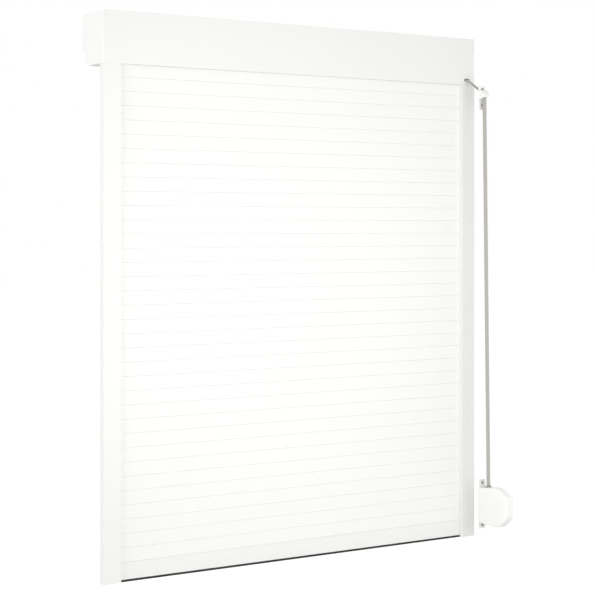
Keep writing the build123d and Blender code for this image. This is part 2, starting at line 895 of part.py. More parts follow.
with BuildPart() as strap_outlet:
    block(
        (outlet_left, outlet_front, outlet_low - outlet_bar),
        (outlet_right, outlet_reach, outlet_high + outlet_bar),
    )
    block(
        (outlet_left + outlet_cheek, outlet_front - cut_overrun, outlet_low),
        (outlet_right - outlet_cheek, outlet_reach + cut_overrun, outlet_high),
        mode=Mode.SUBTRACT,
    )
    disc(
        outlet_centre,
        outlet_pin_radius + running_gap,
        outlet_left - cut_overrun,
        outlet_right + cut_overrun,
        mode=Mode.SUBTRACT,
    )
save(strap_outlet, "strap_outlet")

with BuildPart() as outlet_pin:
    disc(outlet_centre, outlet_pin_radius, outlet_left, outlet_right)
save(outlet_pin, "outlet_pin")

with BuildPart() as outlet_roller:
    disc(
        outlet_centre,
        outlet_roller_radius,
        outlet_left + outlet_cheek + free_gap,
        outlet_right - outlet_cheek - free_gap,
    )
    disc(outlet_centre, outlet_pin_radius + running_gap, outlet_left, outlet_right, mode=Mode.SUBTRACT)
save(outlet_roller, "outlet_roller")

# Strap guide

guide_front = -frame_gap - guide_plate
guide_left = strap_centre - guide_plate_width / 2
guide_right = strap_centre + guide_plate_width / 2
guide_top = guide_foot + guide_plate_height
hood_low = guide_foot + hood_foot
hood_top = hood_low + hood_height
hood_front = guide_front - hood_depth
hood_left = strap_centre - hood_width / 2
hood_right = strap_centre + hood_width / 2
guide_screw_places = [
    (strap_centre, guide_foot + guide_screw_foot),
    (strap_centre, guide_foot + guide_screw_foot + guide_screw_spacing),
]
opening_left = strap_left - disc_side_gap
opening_right = strap_right + disc_side_gap


def draw_hood(inset):
    """Draw the side view of the hood, drawn in from its outside faces."""
    with BuildLine() as outline:
        FilletPolyline(
            (-frame_gap, hood_low - inset),
            (hood_front + inset, hood_low - inset),
            (hood_front + inset, hood_top - hood_drop - inset / 2),
            (hood_front + hood_slope + inset / 2, hood_top - inset),
            (-frame_gap, hood_top - inset),
            radius=[0, 0, hood_corner_radius - inset / 2, hood_corner_radius - inset / 2, 0],
            close=True,
        )
    make_face(outline.edges())


with BuildPart() as strap_guide:
    with BuildSketch(Plane.XZ.offset(frame_gap)):
        with Locations((strap_centre, guide_foot + guide_plate_height / 2)):
            RectangleRounded(guide_plate_width, guide_plate_height, guide_corner_radius)
    extrude(amount=guide_plate)
    with BuildSketch(Plane.YZ.offset(hood_left)):
        draw_hood(0)
    extrude(amount=hood_width)
    with BuildSketch(Plane.YZ.offset(hood_left + hood_wall)):
        draw_hood(hood_wall)
    extrude(amount=hood_width - 2 * hood_wall, mode=Mode.SUBTRACT)
    block(
        (opening_left, guide_front - cut_overrun, hood_low + hood_wall),
        (opening_right, cut_overrun - frame_gap, hood_top - hood_wall / 2),
        mode=Mode.SUBTRACT,
    )
    disc(
        guide_centre,
        guide_pin_radius + running_gap,
        hood_left - cut_overrun,
        hood_right + cut_overrun,
        mode=Mode.SUBTRACT,
    )
    for place in guide_screw_places:
        peg(place, wood_hole_radius, cut_overrun - frame_gap, guide_front - cut_overrun, mode=Mode.SUBTRACT)
save(strap_guide, "strap_guide")

with BuildPart() as guide_pin:
    disc(guide_centre, guide_pin_radius, hood_left, hood_right)
save(guide_pin, "guide_pin")

with BuildPart() as guide_roller:
    disc(
        guide_centre,
        guide_roller_radius,
        hood_left + hood_wall + free_gap,
        hood_right - hood_wall - free_gap,
    )
    disc(guide_centre, guide_pin_radius + running_gap, hood_left, hood_right, mode=Mode.SUBTRACT)
save(guide_roller, "guide_roller")


def wood_screw(place, seat, plate, length):
    """Add a wood screw: its head on a seat, a plain shank in the plate and the thread beyond."""
    peg(place, wood_screw_head_radius, seat - wood_screw_head, seat)
    peg(place, wood_shank_radius, seat, seat + plate)
    peg(place, wood_screw_radius, seat + plate, seat + length)


with BuildPart() as guide_screws:
    for place in guide_screw_places:
        wood_screw(place, guide_front, guide_plate, guide_screw_length)
save(guide_screws, "guide_screws")

# Strap runs

upper_start, upper_end = tangent_run(shaft_centre, coil_reach, outlet_centre, -outlet_reach_radius)
cross_start, cross_end = tangent_run(
    outlet_centre, -outlet_reach_radius, guide_centre, -guide_reach_radius
)
drop_start, drop_end = tangent_run(guide_centre, -guide_reach_radius, spool_centre, spool_reach)
outlet_bend = bend_between(upper_end, cross_start, outlet_centre, outlet_reach_radius)
guide_bend = bend_between(cross_end, drop_start, guide_centre, guide_reach_radius)
winder_plate_height = winder_case_foot + winder_height + winder_top_ear
winder_top = winder_foot + winder_case_foot + winder_height
drop_lean = (drop_end[0] - drop_start[0]) / (drop_end[1] - drop_start[1])
strap_entry = (drop_start[0] + (winder_top - drop_start[1]) * drop_lean, winder_top)

with BuildPart() as upper_strap:
    with BuildSketch(Plane.YZ.offset(strap_left)):
        with BuildLine():
            Line(upper_start, upper_end)
            ThreePointArc(upper_end, outlet_bend, cross_start)
            Line(cross_start, cross_end)
            ThreePointArc(cross_end, guide_bend, drop_start)
        trace(line_width=strap_thickness)
    extrude(amount=strap_width)
save(upper_strap, "upper_strap")

with BuildPart() as hanging_strap:
    with BuildSketch(Plane.YZ.offset(strap_left)):
        with BuildLine():
            Line(drop_start, strap_entry)
        trace(line_width=strap_thickness)
    extrude(amount=strap_width)
save(hanging_strap, "hanging_strap")

with BuildPart() as lower_strap:
    with BuildSketch(Plane.YZ.offset(strap_left)):
        with BuildLine():
            Line(strap_entry, drop_end)
        trace(line_width=strap_thickness)
    extrude(amount=strap_width)
save(lower_strap, "lower_strap")

# Winder

winder_back = -frame_gap - winder_plate
winder_base = winder_foot + winder_case_foot
winder_left = strap_centre - winder_width / 2
winder_right = strap_centre + winder_width / 2
case_points = [
    (winder_back - across * winder_depth, winder_base + up * winder_height)
    for across, up in case_outline_shares
]
case_radii = [share * winder_height for share in case_bend_radii_shares]
case_boss_places = [
    (winder_back - across * winder_depth, winder_base + up * winder_height)
    for across, up in case_boss_place_shares
]
winder_screw_places = [
    (strap_centre, winder_foot + winder_screw_inset),
    (strap_centre, winder_foot + winder_plate_height - winder_screw_inset),
]

with BuildSketch() as case_outline:
    with BuildLine():
        FilletPolyline(*case_points, radius=case_radii, close=True)
    make_face()

with BuildPart() as winder_base_plate:
    with BuildSketch(Plane.XZ.offset(frame_gap)):
        with Locations((strap_centre, winder_foot + winder_plate_height / 2)):
            RectangleRounded(winder_plate_width, winder_plate_height, guide_corner_radius)
    extrude(amount=winder_plate)
    for place in winder_screw_places:
        peg(place, wood_hole_radius, cut_overrun - frame_gap, winder_back - cut_overrun, mode=Mode.SUBTRACT)
save(winder_base_plate, "winder_base_plate")

with BuildPart() as winder_screws:
    for place in winder_screw_places:
        wood_screw(place, winder_back, winder_plate, winder_screw_length)
save(winder_screws, "winder_screws")

slot_low = (strap_entry[0] - slot_gap - strap_thickness / 2 - slot_liner_wall, strap_left - slot_gap)
slot_high = (strap_entry[0] + slot_gap + strap_thickness / 2 + slot_liner_wall, strap_right + slot_gap)


def case_half(start, end, open_side):
    """Add one half of the winder case, from its side wall to the joint in the middle."""
    wall = winder_wall * (end - start) / abs(end - start)
    with BuildSketch(Plane.YZ.offset(start)) as outside:
        add(case_outline.sketch)
    extrude(outside.sketch, amount=end - start)
    chamfer(faces().sort_by(Axis.X)[-open_side].edges(), winder_edge)
    with BuildSketch(Plane.YZ.offset(start + wall)) as inside:
        offset(case_outline.sketch, amount=-winder_wall)
    extrude(inside.sketch, amount=end - start - wall, mode=Mode.SUBTRACT)
    disc(spool_centre, axle_boss_radius, start + wall, start + wall + wall / winder_wall * axle_boss_length)
    for centre in case_boss_places:
        disc(centre, case_boss_radius, start + wall / 2, end)


def cut_case_openings():
    """Cut the slot for the strap, the axle seat and the screw holes through a case half."""
    block(
        (slot_low[1], slot_low[0], winder_top - slot_liner_depth - winder_edge),
        (slot_high[1], slot_high[0], winder_top + cut_overrun),
        mode=Mode.SUBTRACT,
    )
    disc(
        spool_centre,
        axle_radius + running_gap,
        winder_left + winder_wall / 2,
        winder_right - winder_wall / 2,
        mode=Mode.SUBTRACT,
    )
    for centre in case_boss_places:
        disc(
            centre,
            case_screw_radius + running_gap,
            winder_left + winder_wall,
            winder_right + cut_overrun,
            mode=Mode.SUBTRACT,
        )


with BuildPart() as winder_case_left:
    case_half(winder_left, strap_centre, 0)
    cut_case_openings()
save(winder_case_left, "winder_case_left")

with BuildPart() as winder_case_right:
    case_half(winder_right, strap_centre, 1)
    cut_case_openings()
save(winder_case_right, "winder_case_right")

with BuildPart() as winder_slot_liner:
    block(
        (slot_low[1] + snug_gap, slot_low[0] + snug_gap, winder_top - slot_liner_depth),
        (slot_high[1] - snug_gap, slot_high[0] - snug_gap, winder_top),
    )
    block(
        (
            slot_low[1] + slot_liner_wall,
            slot_low[0] + snug_gap + slot_liner_wall,
            winder_top - slot_liner_depth - cut_overrun,
        ),
        (
            slot_high[1] - slot_liner_wall,
            slot_high[0] - snug_gap - slot_liner_wall,
            winder_top + cut_overrun,
        ),
        mode=Mode.SUBTRACT,
    )
save(winder_slot_liner, "winder_slot_liner")

with BuildPart() as winder_case_screws:
    for centre in case_boss_places:
        disc(centre, case_screw_radius, winder_left + winder_wall + snug_gap, winder_right)
        disc(centre, 2 * case_screw_radius, winder_right, winder_right + case_screw_radius)
save(winder_case_screws, "winder_case_screws")

with BuildPart() as winder_axle:
    disc(
        spool_centre,
        axle_radius,
        winder_left + winder_wall / 2 + snug_gap,
        winder_right - winder_wall / 2 - snug_gap,
    )
save(winder_axle, "winder_axle")

spool_left = strap_left - spool_side_gap - spool_flange
spool_right = strap_right + spool_side_gap + spool_flange

with BuildPart() as winder_spool:
    disc(spool_centre, spool_flange_radius, spool_left, spool_left + spool_flange)
    disc(spool_centre, drum_radius, spool_left, spool_right)
    disc(spool_centre, spool_flange_radius, spool_right - spool_flange, spool_right)
    disc(
        spool_centre,
        drum_radius - drum_wall,
        spool_left + spool_flange,
        spool_right + cut_overrun,
        mode=Mode.SUBTRACT,
    )
    disc(spool_centre, spool_hub_radius, spool_left, spool_right)
    disc(
        spool_centre,
        axle_radius + running_gap,
        spool_left - cut_overrun,
        spool_right + cut_overrun,
        mode=Mode.SUBTRACT,
    )
save(winder_spool, "winder_spool")

with BuildPart() as lower_strap_coil:
    disc(spool_centre, lower_coil_radius, strap_left, strap_right)
    disc(
        spool_centre,
        drum_radius + free_gap,
        strap_left - cut_overrun,
        strap_right + cut_overrun,
        mode=Mode.SUBTRACT,
    )
save(lower_strap_coil, "lower_strap_coil")

# The flat spring winds outwards in half turns, each a step wider than the last
spring_start = spool_hub_radius + free_gap + spring_thickness
spring_middle = (spool_left + spool_right) / 2

with BuildPart() as winder_spring:
    with BuildSketch(Plane.YZ.offset(spring_middle - spring_width / 2)):
        with BuildLine():
            reach = spring_start
            side = 1
            for half_turn in range(2 * spring_turns):
                next_reach = reach + spring_pitch / 2
                start = (spool_centre[0] + side * reach, spool_centre[1])
                end = (spool_centre[0] - side * next_reach, spool_centre[1])
                middle = ((start[0] + end[0]) / 2, spool_centre[1] + side * (reach + next_reach) / 2)
                ThreePointArc(start, middle, end)
                reach = next_reach
                side = -side
        trace(line_width=spring_thickness)
    extrude(amount=spring_width)
save(winder_spring, "winder_spring")

print("slats", slat_count, "curtain top", curtain_top)
print("strap at the wall", cross_start, "at the guide", cross_end, "hanging from", drop_start)
print("strap enters the winder at", strap_entry, "and meets the coil at", drop_end)
print("strap angle", round(degrees(atan2(cross_start[1] - cross_end[1], cross_start[0] - cross_end[0])), 1))
print("spring reaches", round(reach, 2), "inside a drum of", drum_radius - drum_wall)
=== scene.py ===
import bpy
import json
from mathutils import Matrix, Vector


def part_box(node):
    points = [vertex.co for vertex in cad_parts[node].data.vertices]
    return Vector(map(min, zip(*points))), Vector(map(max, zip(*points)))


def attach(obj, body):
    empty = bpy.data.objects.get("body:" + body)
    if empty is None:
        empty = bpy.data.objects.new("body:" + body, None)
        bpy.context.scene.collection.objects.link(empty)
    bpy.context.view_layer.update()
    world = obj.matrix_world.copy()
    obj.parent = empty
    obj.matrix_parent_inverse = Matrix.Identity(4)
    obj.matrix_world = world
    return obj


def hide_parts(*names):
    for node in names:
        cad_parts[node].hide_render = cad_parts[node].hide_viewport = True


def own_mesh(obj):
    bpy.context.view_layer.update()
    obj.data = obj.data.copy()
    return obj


bl_info = {
    "name": "Roller Shutter Dressing",
    "version": (1, 0, 0),
    "blender": (4, 5, 0),
    "location": "View3D > Sidebar > Shutter",
    "description": "Gives the packed exterior roller shutter its finished surfaces, stage and camera",
    "category": "Object",
}

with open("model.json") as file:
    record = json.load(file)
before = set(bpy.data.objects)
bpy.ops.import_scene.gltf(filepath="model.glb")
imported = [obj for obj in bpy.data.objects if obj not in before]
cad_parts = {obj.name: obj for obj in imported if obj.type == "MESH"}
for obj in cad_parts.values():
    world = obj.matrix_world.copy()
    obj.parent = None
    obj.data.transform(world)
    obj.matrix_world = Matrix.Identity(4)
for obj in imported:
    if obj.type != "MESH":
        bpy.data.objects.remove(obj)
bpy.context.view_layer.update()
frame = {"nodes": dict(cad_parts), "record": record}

import json
from math import acos, asin, atan2, ceil, cos, hypot, pi, radians, sin, tan

import bmesh
import bpy
from bpy.props import FloatProperty, FloatVectorProperty, PointerProperty
from bpy.types import Operator, Panel, PropertyGroup
from mathutils import Matrix, Vector

MM = 0.001
NODES = frame["nodes"]
SLOT_OF = {part["node"]: part["material_slot"] for part in frame["record"]["subparts"]}
BOX = {name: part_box(name) for name in NODES}
SLAT_NODES = sorted(name for name in NODES if name.startswith("slats_"))

# Thicknesses and gaps that the frame doesn't hold
SHEET = 1.2 * MM
STRAP_THICKNESS = 1.2 * MM
STRAP_GAP = 0.3 * MM
STRAP_LAYER_GAP = 0.1 * MM
WINDER_WALL = 2.0 * MM

# Limits for joining points, dissolving flat faces and finding edges
SAME_PLACE = 0.001 * MM
JOIN_REACH = 0.002 * MM
SECTION_FLAT = radians(0.1)
SOLID_FLAT = radians(0.3)
EDGE_TURN = radians(35)

# Turns past which the shading of a cap, a screw or the strap has a sharp edge
CAP_SHARP = radians(30)
SCREW_SHARP = radians(40)
STRAP_SHARP = radians(60)

# Outline of the winder case from its lower back corner, as shares of its depth and height
CASE_OUTLINE_SHARES = [
    (0.0, 0.0),
    (0.633, 0.0),
    (0.742, 0.036),
    (0.914, 0.179),
    (1.0, 0.321),
    (1.0, 0.732),
    (0.984, 0.83),
    (0.648, 1.0),
    (0.492, 1.0),
    (0.0, 0.92),
]
CASE_BEND_SHARES = [0.0, 0.3, 0.3, 0.3, 0.25, 0.15, 0.07, 0.25, 0.25, 0.0]
CASE_SCREW_SHARES = [(0.09, 0.13), (0.85, 0.26), (0.9, 0.76), (0.09, 0.78)]

# Half of the webbing's section, as shares of its half width and half thickness
WEBBING_SHARES = [(-1, 0.35), (-0.975, 0.8), (-0.93, 1), (-0.84, 1), (-0.78, 0.84), (-0.4, 0.9), (0, 0.92)]

# Screws by CAD node: the rise of the head, the radius of the shank, the pitch and the plain length
SCREW_SIZES = {
    "cover_screws": (1.8 * MM, 1.8 * MM, 0.8 * MM, 0.0),
    "stop_screws": (2.0 * MM, 2.0 * MM, 0.9 * MM, 0.0),
    "guide_screws": (2.4 * MM, 1.9 * MM, 1.5 * MM, 3.0 * MM),
    "winder_screws": (2.4 * MM, 1.9 * MM, 1.5 * MM, 3.0 * MM),
    "winder_case_screws": (1.3 * MM, 1.3 * MM, 1.0 * MM, 0.0),
}

# Dome and cross recess as shares of the screw head, tip and thread as shares of the shank
DOME_SHARES = [(0.97, 0.0), (1.0, 0.08), (1.0, 0.3), (0.95, 0.55), (0.84, 0.77), (0.68, 0.91), (0.5, 0.98)]
RECESS_ARM_SHARE = 0.42
RECESS_SLOT_SHARE = 0.085
RECESS_FLOOR_SHARE = 0.35
RECESS_TAPER_SHARE = 0.72
TIP_SHARES = [(0.06, 0.0), (0.6, 1.2)]
THREAD_DEPTH_SHARE = 0.16
THREAD_FLANK_SHARE = 0.25
THREAD_RINGS = 6
TAPER_RINGS = 8
SCREW_SIDES = 24


class ShutterShapes(PropertyGroup):
    """Roundings and small shapes that the finish adds to the solids."""

    folded_edge: FloatProperty(
        name="Folded edge",
        description="Rounding of the edges of the folded sheet and the aluminium profiles",
        default=0.3 * MM,
        unit="LENGTH",
    )
    slat_edge: FloatProperty(
        name="Slat edge",
        description="Rounding of the long edges of each slat on the room side",
        default=0.3 * MM,
        unit="LENGTH",
    )
    moulded_edge: FloatProperty(
        name="Moulded edge",
        description="Rounding of the edges of the moulded plates and caps",
        default=0.4 * MM,
        unit="LENGTH",
    )
    metal_edge: FloatProperty(
        name="Metal edge",
        description="Rounding of the edges of pins, rings and stamped strips",
        default=0.15 * MM,
        unit="LENGTH",
    )
    winder_edge: FloatProperty(
        name="Winder edge",
        description="Rounding of the side edges of the winder case",
        default=4.6 * MM,
        unit="LENGTH",
    )
    arc_step: FloatProperty(
        name="Arc step",
        description="Largest turn between two points of a bend",
        default=radians(5),
        subtype="ANGLE",
    )


class ShutterFinishes(PropertyGroup):
    """Colours of the surfaces, as linear values."""

    paint: FloatVectorProperty(
        name="Paint",
        description="White of the painted box, rails and end slat",
        default=(0.86, 0.86, 0.84),
        subtype="COLOR",
    )
    slats: FloatVectorProperty(
        name="Slats",
        description="White of the plastic slats",
        default=(0.89, 0.89, 0.87),
        subtype="COLOR",
    )
    moulded: FloatVectorProperty(
        name="Moulded parts",
        description="White of the end caps, the guide and the winder",
        default=(0.90, 0.90, 0.885),
        subtype="COLOR",
    )
    rubber: FloatVectorProperty(
        name="Rubber",
        description="Black of the seal, the gaskets and the stops",
        default=(0.018, 0.018, 0.019),
        subtype="COLOR",
    )
    dark_plastic: FloatVectorProperty(
        name="Dark plastic",
        description="Grey of the strap outlet, the disc and the small inner parts",
        default=(0.34, 0.33, 0.315),
        subtype="COLOR",
    )
    galvanised: FloatVectorProperty(
        name="Galvanised steel",
        description="Colour of the shaft and the hangers",
        default=(0.56, 0.57, 0.58),
        subtype="COLOR",
    )
    steel: FloatVectorProperty(
        name="Polished steel",
        description="Colour of the bearings, the pins and the spring",
        default=(0.62, 0.62, 0.61),
        subtype="COLOR",
    )
    screws: FloatVectorProperty(
        name="Screws",
        description="Zinc of the screws",
        default=(0.36, 0.34, 0.29),
        subtype="COLOR",
    )
    webbing: FloatVectorProperty(
        name="Webbing",
        description="Grey of the strap",
        default=(0.495, 0.480, 0.450),
        subtype="COLOR",
    )


class ShutterStudio(PropertyGroup):
    """Lamps, floor and camera."""

    ambient: FloatProperty(
        name="Ambient light",
        description="Strength of the light that comes from all sides",
        default=0.55,
    )
    key_power: FloatProperty(
        name="Key lamp",
        description="Power of the large lamp in front of the curtain",
        default=20.0,
        unit="POWER",
    )
    side_power: FloatProperty(
        name="Side lamp",
        description="Power of the lamp on the left, which lights the end cap and the winder's side",
        default=54.0,
        unit="POWER",
    )
    floor_size: FloatProperty(
        name="Floor",
        description="Width of the floor",
        default=40.0,
        unit="LENGTH",
    )
    lens: FloatProperty(
        name="Lens",
        description="Focal length of the camera, in millimetres on a 36 mm sensor",
        default=90.37,
    )
    shift: FloatProperty(
        name="Shift",
        description="Downward shift of the level camera, as a share of the image width",
        default=0.1179,
    )
    heading: FloatProperty(
        name="Heading",
        description="Turn of the camera from straight on towards the left end",
        default=radians(31.27),
        subtype="ANGLE",
    )
    eye: FloatVectorProperty(
        name="Eye",
        description="Place of the camera",
        default=(-2.1644, -3.5355, 0.9195),
        subtype="TRANSLATION",
        unit="LENGTH",
    )


# Outlines


def fillet_outline(points, bends, step, closed=True):
    """Return the outline with each corner turned into an arc of its radius."""
    result = []
    count = len(points)
    for index, (corner, bend) in enumerate(zip(points, bends)):
        here = Vector(corner)
        if bend <= 0 or (not closed and index in (0, count - 1)):
            result.append(tuple(here))
            continue
        before = (Vector(points[index - 1]) - here).normalized()
        after = (Vector(points[(index + 1) % count]) - here).normalized()
        half = acos(max(-1.0, min(1.0, before.dot(after)))) / 2
        reach = bend / tan(half)
        centre = here + (before + after).normalized() * (bend / sin(half))
        first = here + before * reach - centre
        turn = pi - 2 * half
        spin = 1 if before.x * after.y - before.y * after.x < 0 else -1
        pieces = max(1, ceil(turn / step))
        for piece in range(pieces + 1):
            angle = spin * turn * piece / pieces
            result.append(
                (
                    centre.x + first.x * cos(angle) - first.y * sin(angle),
                    centre.y + first.x * sin(angle) + first.y * cos(angle),
                )
            )
    return result


def folded_strip(points, thickness):
    """Return the closed outline of a strip whose left face follows the points."""
    inner = []
    for index, point in enumerate(points):
        here = Vector(point)
        before = Vector(points[max(index - 1, 0)])
        after = Vector(points[min(index + 1, len(points) - 1)])
        ways = [way.normalized() for way in (here - before, after - here) if way.length > 0]
        sides = [Vector((way.y, -way.x)) for way in ways]
        middle = sum(sides, Vector((0, 0))).normalized()
        inner.append(tuple(here + middle * (thickness / middle.dot(sides[0]))))
    return list(points) + inner[::-1]


# Meshes


def add_part(mesh, part):
    """Move a closed part into an open mesh, with its faces turned outwards."""
    bmesh.ops.recalc_face_normals(part, faces=part.faces)
    scrap = bpy.data.meshes.new("scrap")
    part.to_mesh(scrap)
    part.free()
    mesh.from_mesh(scrap)
    bpy.data.meshes.remove(scrap)


def section_solid(mesh, loops, start, end):
    """Add a closed solid: a YZ section with any holes, drawn out along X between two places."""
    part = bmesh.new()
    edges = []
    for loop in loops:
        corners = [part.verts.new((start, across, up)) for across, up in loop]
        edges += [part.edges.new((corners[index - 1], corner)) for index, corner in enumerate(corners)]
    bmesh.ops.triangle_fill(part, use_beauty=True, edges=edges)
    bmesh.ops.dissolve_limit(part, angle_limit=SECTION_FLAT, verts=part.verts, edges=part.edges)
    drawn = bmesh.ops.extrude_face_region(part, geom=part.faces[:])
    moved = [item for item in drawn["geom"] if isinstance(item, bmesh.types.BMVert)]
    bmesh.ops.translate(part, verts=moved, vec=(end - start, 0, 0))
    add_part(mesh, part)


def new_piece(name, mesh):
    """Turn an open mesh into an object of the scene."""
    data = bpy.data.meshes.new(name)
    mesh.to_mesh(data)
    mesh.free()
    piece = bpy.data.objects.new(name, data)
    bpy.context.scene.collection.objects.link(piece)
    return piece


def at_place(items, x):
    """Return the edges or faces whose corners all lie at a place along X."""
    return [item for item in items if all(abs(corner.co.x - x) < SAME_PLACE for corner in item.verts)]


def bevel_rim(mesh, rim, width, segments):
    """Round some edges of an open mesh."""
    bmesh.ops.bevel(
        mesh,
        geom=rim,
        offset=width,
        offset_type="OFFSET",
        segments=segments,
        profile=0.5,
        affect="EDGES",
        clamp_overlap=False,
        loop_slide=False,
    )


def round_edges(piece, width, segments=2):
    """Round every sharp edge of a piece with a modifier that keeps the normals of its flat faces."""
    bevel = piece.modifiers.new("rounding", "BEVEL")
    bevel.width = width
    bevel.segments = segments
    bevel.limit_method = "ANGLE"
    bevel.angle_limit = EDGE_TURN
    bevel.use_clamp_overlap = False
    bevel.loop_slide = False
    bevel.harden_normals = True


def settle(piece):
    """Put the modifiers' result into the piece's own mesh."""
    bpy.context.view_layer.update()
    graph = bpy.context.evaluated_depsgraph_get()
    data = bpy.data.meshes.new_from_object(piece.evaluated_get(graph))
    old = piece.data
    piece.modifiers.clear()
    piece.data = data
    bpy.data.meshes.remove(old)


def cut_block(piece, low, high):
    """Cut the block between two corners out of a piece."""
    mesh = bmesh.new()
    section_solid(mesh, [[(low.y, low.z), (high.y, low.z), (high.y, high.z), (low.y, high.z)]], low.x, high.x)
    cutter = new_piece("slot_cutter", mesh)
    cut = piece.modifiers.new("strap slot", "BOOLEAN")
    cut.object = cutter
    cut.solver = "EXACT"
    settle(piece)
    data = cutter.data
    bpy.data.objects.remove(cutter)
    bpy.data.meshes.remove(data)


def smooth(piece, sharp_turn):
    """Shade a piece smooth, but for edges that turn by more than an angle."""
    piece.data.polygons.foreach_set("use_smooth", [True] * len(piece.data.polygons))
    piece.data.set_sharp_from_angle(angle=sharp_turn)


def clean_copy(node):
    """Return an open copy of a CAD node's mesh, with joined corners and whole flat faces."""
    mesh = bmesh.new()
    mesh.from_mesh(NODES[node].data)
    bmesh.ops.remove_doubles(mesh, verts=mesh.verts, dist=JOIN_REACH)
    bmesh.ops.dissolve_limit(mesh, angle_limit=SOLID_FLAT, verts=mesh.verts, edges=mesh.edges)
    return mesh


def dress(piece, body, node):
    """Give a new piece the finish of its CAD node's slot and its body, and hide the CAD node it stands for.
    """
    slot = SLOT_OF[node]
    piece.data.materials.clear()
    piece.data.materials.append(finish(slot))
    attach(piece, body)
    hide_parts(node)


def soften(name, width, segments=2):
    """Give a CAD node its finish and rounded edges, with its own mesh as it is."""
    node = NODES[name]
    weld = node.modifiers.new("weld", "WELD")
    weld.merge_threshold = JOIN_REACH
    flat = node.modifiers.new("flat faces", "DECIMATE")
    flat.decimate_type = "DISSOLVE"
    flat.angle_limit = SOLID_FLAT
    round_edges(node, width, segments)
    node.data.materials.clear()
    node.data.materials.append(finish(SLOT_OF[name]))


# Finishes

MADE = {}


def finish(slot):
    """Return the material of a slot, made on first use."""
    if slot not in MADE:
        MADE[slot] = MAKERS[slot](slot, bpy.context.scene.shutter_finishes)
    return MADE[slot]


def add_node(tree, kind, inputs):
    """Add a node with each named input set to a value, or linked to another node's output."""
    node = tree.nodes.new(kind)
    for name, value in inputs.items():
        if isinstance(value, bpy.types.NodeSocket):
            tree.links.new(value, node.inputs[name])
        else:
            node.inputs[name].default_value = value
    return node


def add_math(tree, operation, *values):
    """Add a math node and return its result."""
    node = add_node(tree, "ShaderNodeMath", dict(enumerate(values)))
    node.operation = operation
    return node.outputs["Value"]


class Surface:
    """A material in the making, with its shader and its surface coordinates."""

    def __init__(self, name, roughness, metallic=0.0):
        self.material = bpy.data.materials.new(name)
        self.material.use_nodes = True
        self.tree = self.material.node_tree
        self.shader = self.tree.nodes["Principled BSDF"].inputs
        self.shader["Roughness"].default_value = roughness
        self.shader["Metallic"].default_value = metallic
        self.place = self.tree.nodes.new("ShaderNodeTexCoord").outputs["Object"]

    def noise(self, scale, detail=3.0, stretch=None):
        """Return the value of a noise, stretched along some axes where asked."""
        place = self.place
        if stretch:
            mapping = add_node(self.tree, "ShaderNodeMapping", {"Scale": stretch, "Vector": place})
            place = mapping.outputs["Vector"]
        inputs = {"Scale": scale, "Detail": detail, "Vector": place}
        return add_node(self.tree, "ShaderNodeTexNoise", inputs).outputs["Fac"]

    def crystals(self, scale):
        """Return a colour that differs from crystal to crystal."""
        inputs = {"Scale": scale, "Vector": self.place}
        return add_node(self.tree, "ShaderNodeTexVoronoi", inputs).outputs["Color"]

    def tint(self, value, colour, change):
        """Let the colour vary by a share with a value."""
        ramp = add_node(self.tree, "ShaderNodeValToRGB", {"Fac": value})
        darker, lighter = ramp.color_ramp.elements
        darker.position, lighter.position = 0.3, 0.7
        darker.color = (*[part * (1 - change) for part in colour], 1)
        lighter.color = (*[min(1.0, part * (1 + change)) for part in colour], 1)
        self.tree.links.new(ramp.outputs["Color"], self.shader["Base Color"])

    def gloss(self, value, low, high):
        """Let the roughness vary between two limits with a value."""
        inputs = {"Value": value, "To Min": low, "To Max": high}
        spread = add_node(self.tree, "ShaderNodeMapRange", inputs)
        self.tree.links.new(spread.outputs["Result"], self.shader["Roughness"])

    def relief(self, value, depth, strength=1.0):
        """Let a value raise the surface by a depth in metres."""
        inputs = {"Height": value, "Distance": depth, "Strength": strength}
        bump = add_node(self.tree, "ShaderNodeBump", inputs)
        self.tree.links.new(bump.outputs["Normal"], self.shader["Normal"])


def painted_aluminium(name, colours):
    """Coil-coated sheet: even satin paint with a very fine orange peel."""
    paint = Surface(name, roughness=0.38)
    paint.tint(paint.noise(scale=3.0, detail=4.0), colours.paint, change=0.006)
    paint.gloss(paint.noise(scale=45.0), low=0.33, high=0.43)
    paint.relief(paint.noise(scale=650.0, detail=2.0), depth=0.015 * MM)
    return paint.material


def slat_plastic(name, colours):
    """Extruded plastic: satin, with faint draw lines along the slat."""
    plastic = Surface(name, roughness=0.42)
    plastic.tint(plastic.noise(scale=2.5), colours.slats, change=0.005)
    lines = plastic.noise(scale=1.0, detail=4.0, stretch=(1.5, 700.0, 700.0))
    plastic.gloss(lines, low=0.36, high=0.48)
    plastic.relief(lines, depth=0.012 * MM)
    return plastic.material


def moulded_plastic(name, colours):
    """Injection-moulded plastic: a fine spark-eroded grain."""
    plastic = Surface(name, roughness=0.36)
    plastic.tint(plastic.noise(scale=9.0), colours.moulded, change=0.006)
    plastic.gloss(plastic.noise(scale=120.0), low=0.32, high=0.42)
    plastic.relief(plastic.noise(scale=1900.0, detail=2.0), depth=0.02 * MM, strength=0.6)
    return plastic.material


def black_rubber(name, colours):
    """Matt rubber with fine extrusion lines and a little bloom."""
    rubber = Surface(name, roughness=0.78)
    rubber.tint(rubber.noise(scale=60.0, detail=4.0), colours.rubber, change=0.3)
    rubber.relief(rubber.noise(scale=1.0, stretch=(4.0, 900.0, 900.0)), depth=0.03 * MM)
    return rubber.material


def dark_plastic(name, colours):
    """Grey nylon with a fine grain."""
    nylon = Surface(name, roughness=0.48)
    nylon.tint(nylon.noise(scale=80.0), colours.dark_plastic, change=0.15)
    nylon.relief(nylon.noise(scale=1700.0, detail=2.0), depth=0.02 * MM, strength=0.6)
    return nylon.material


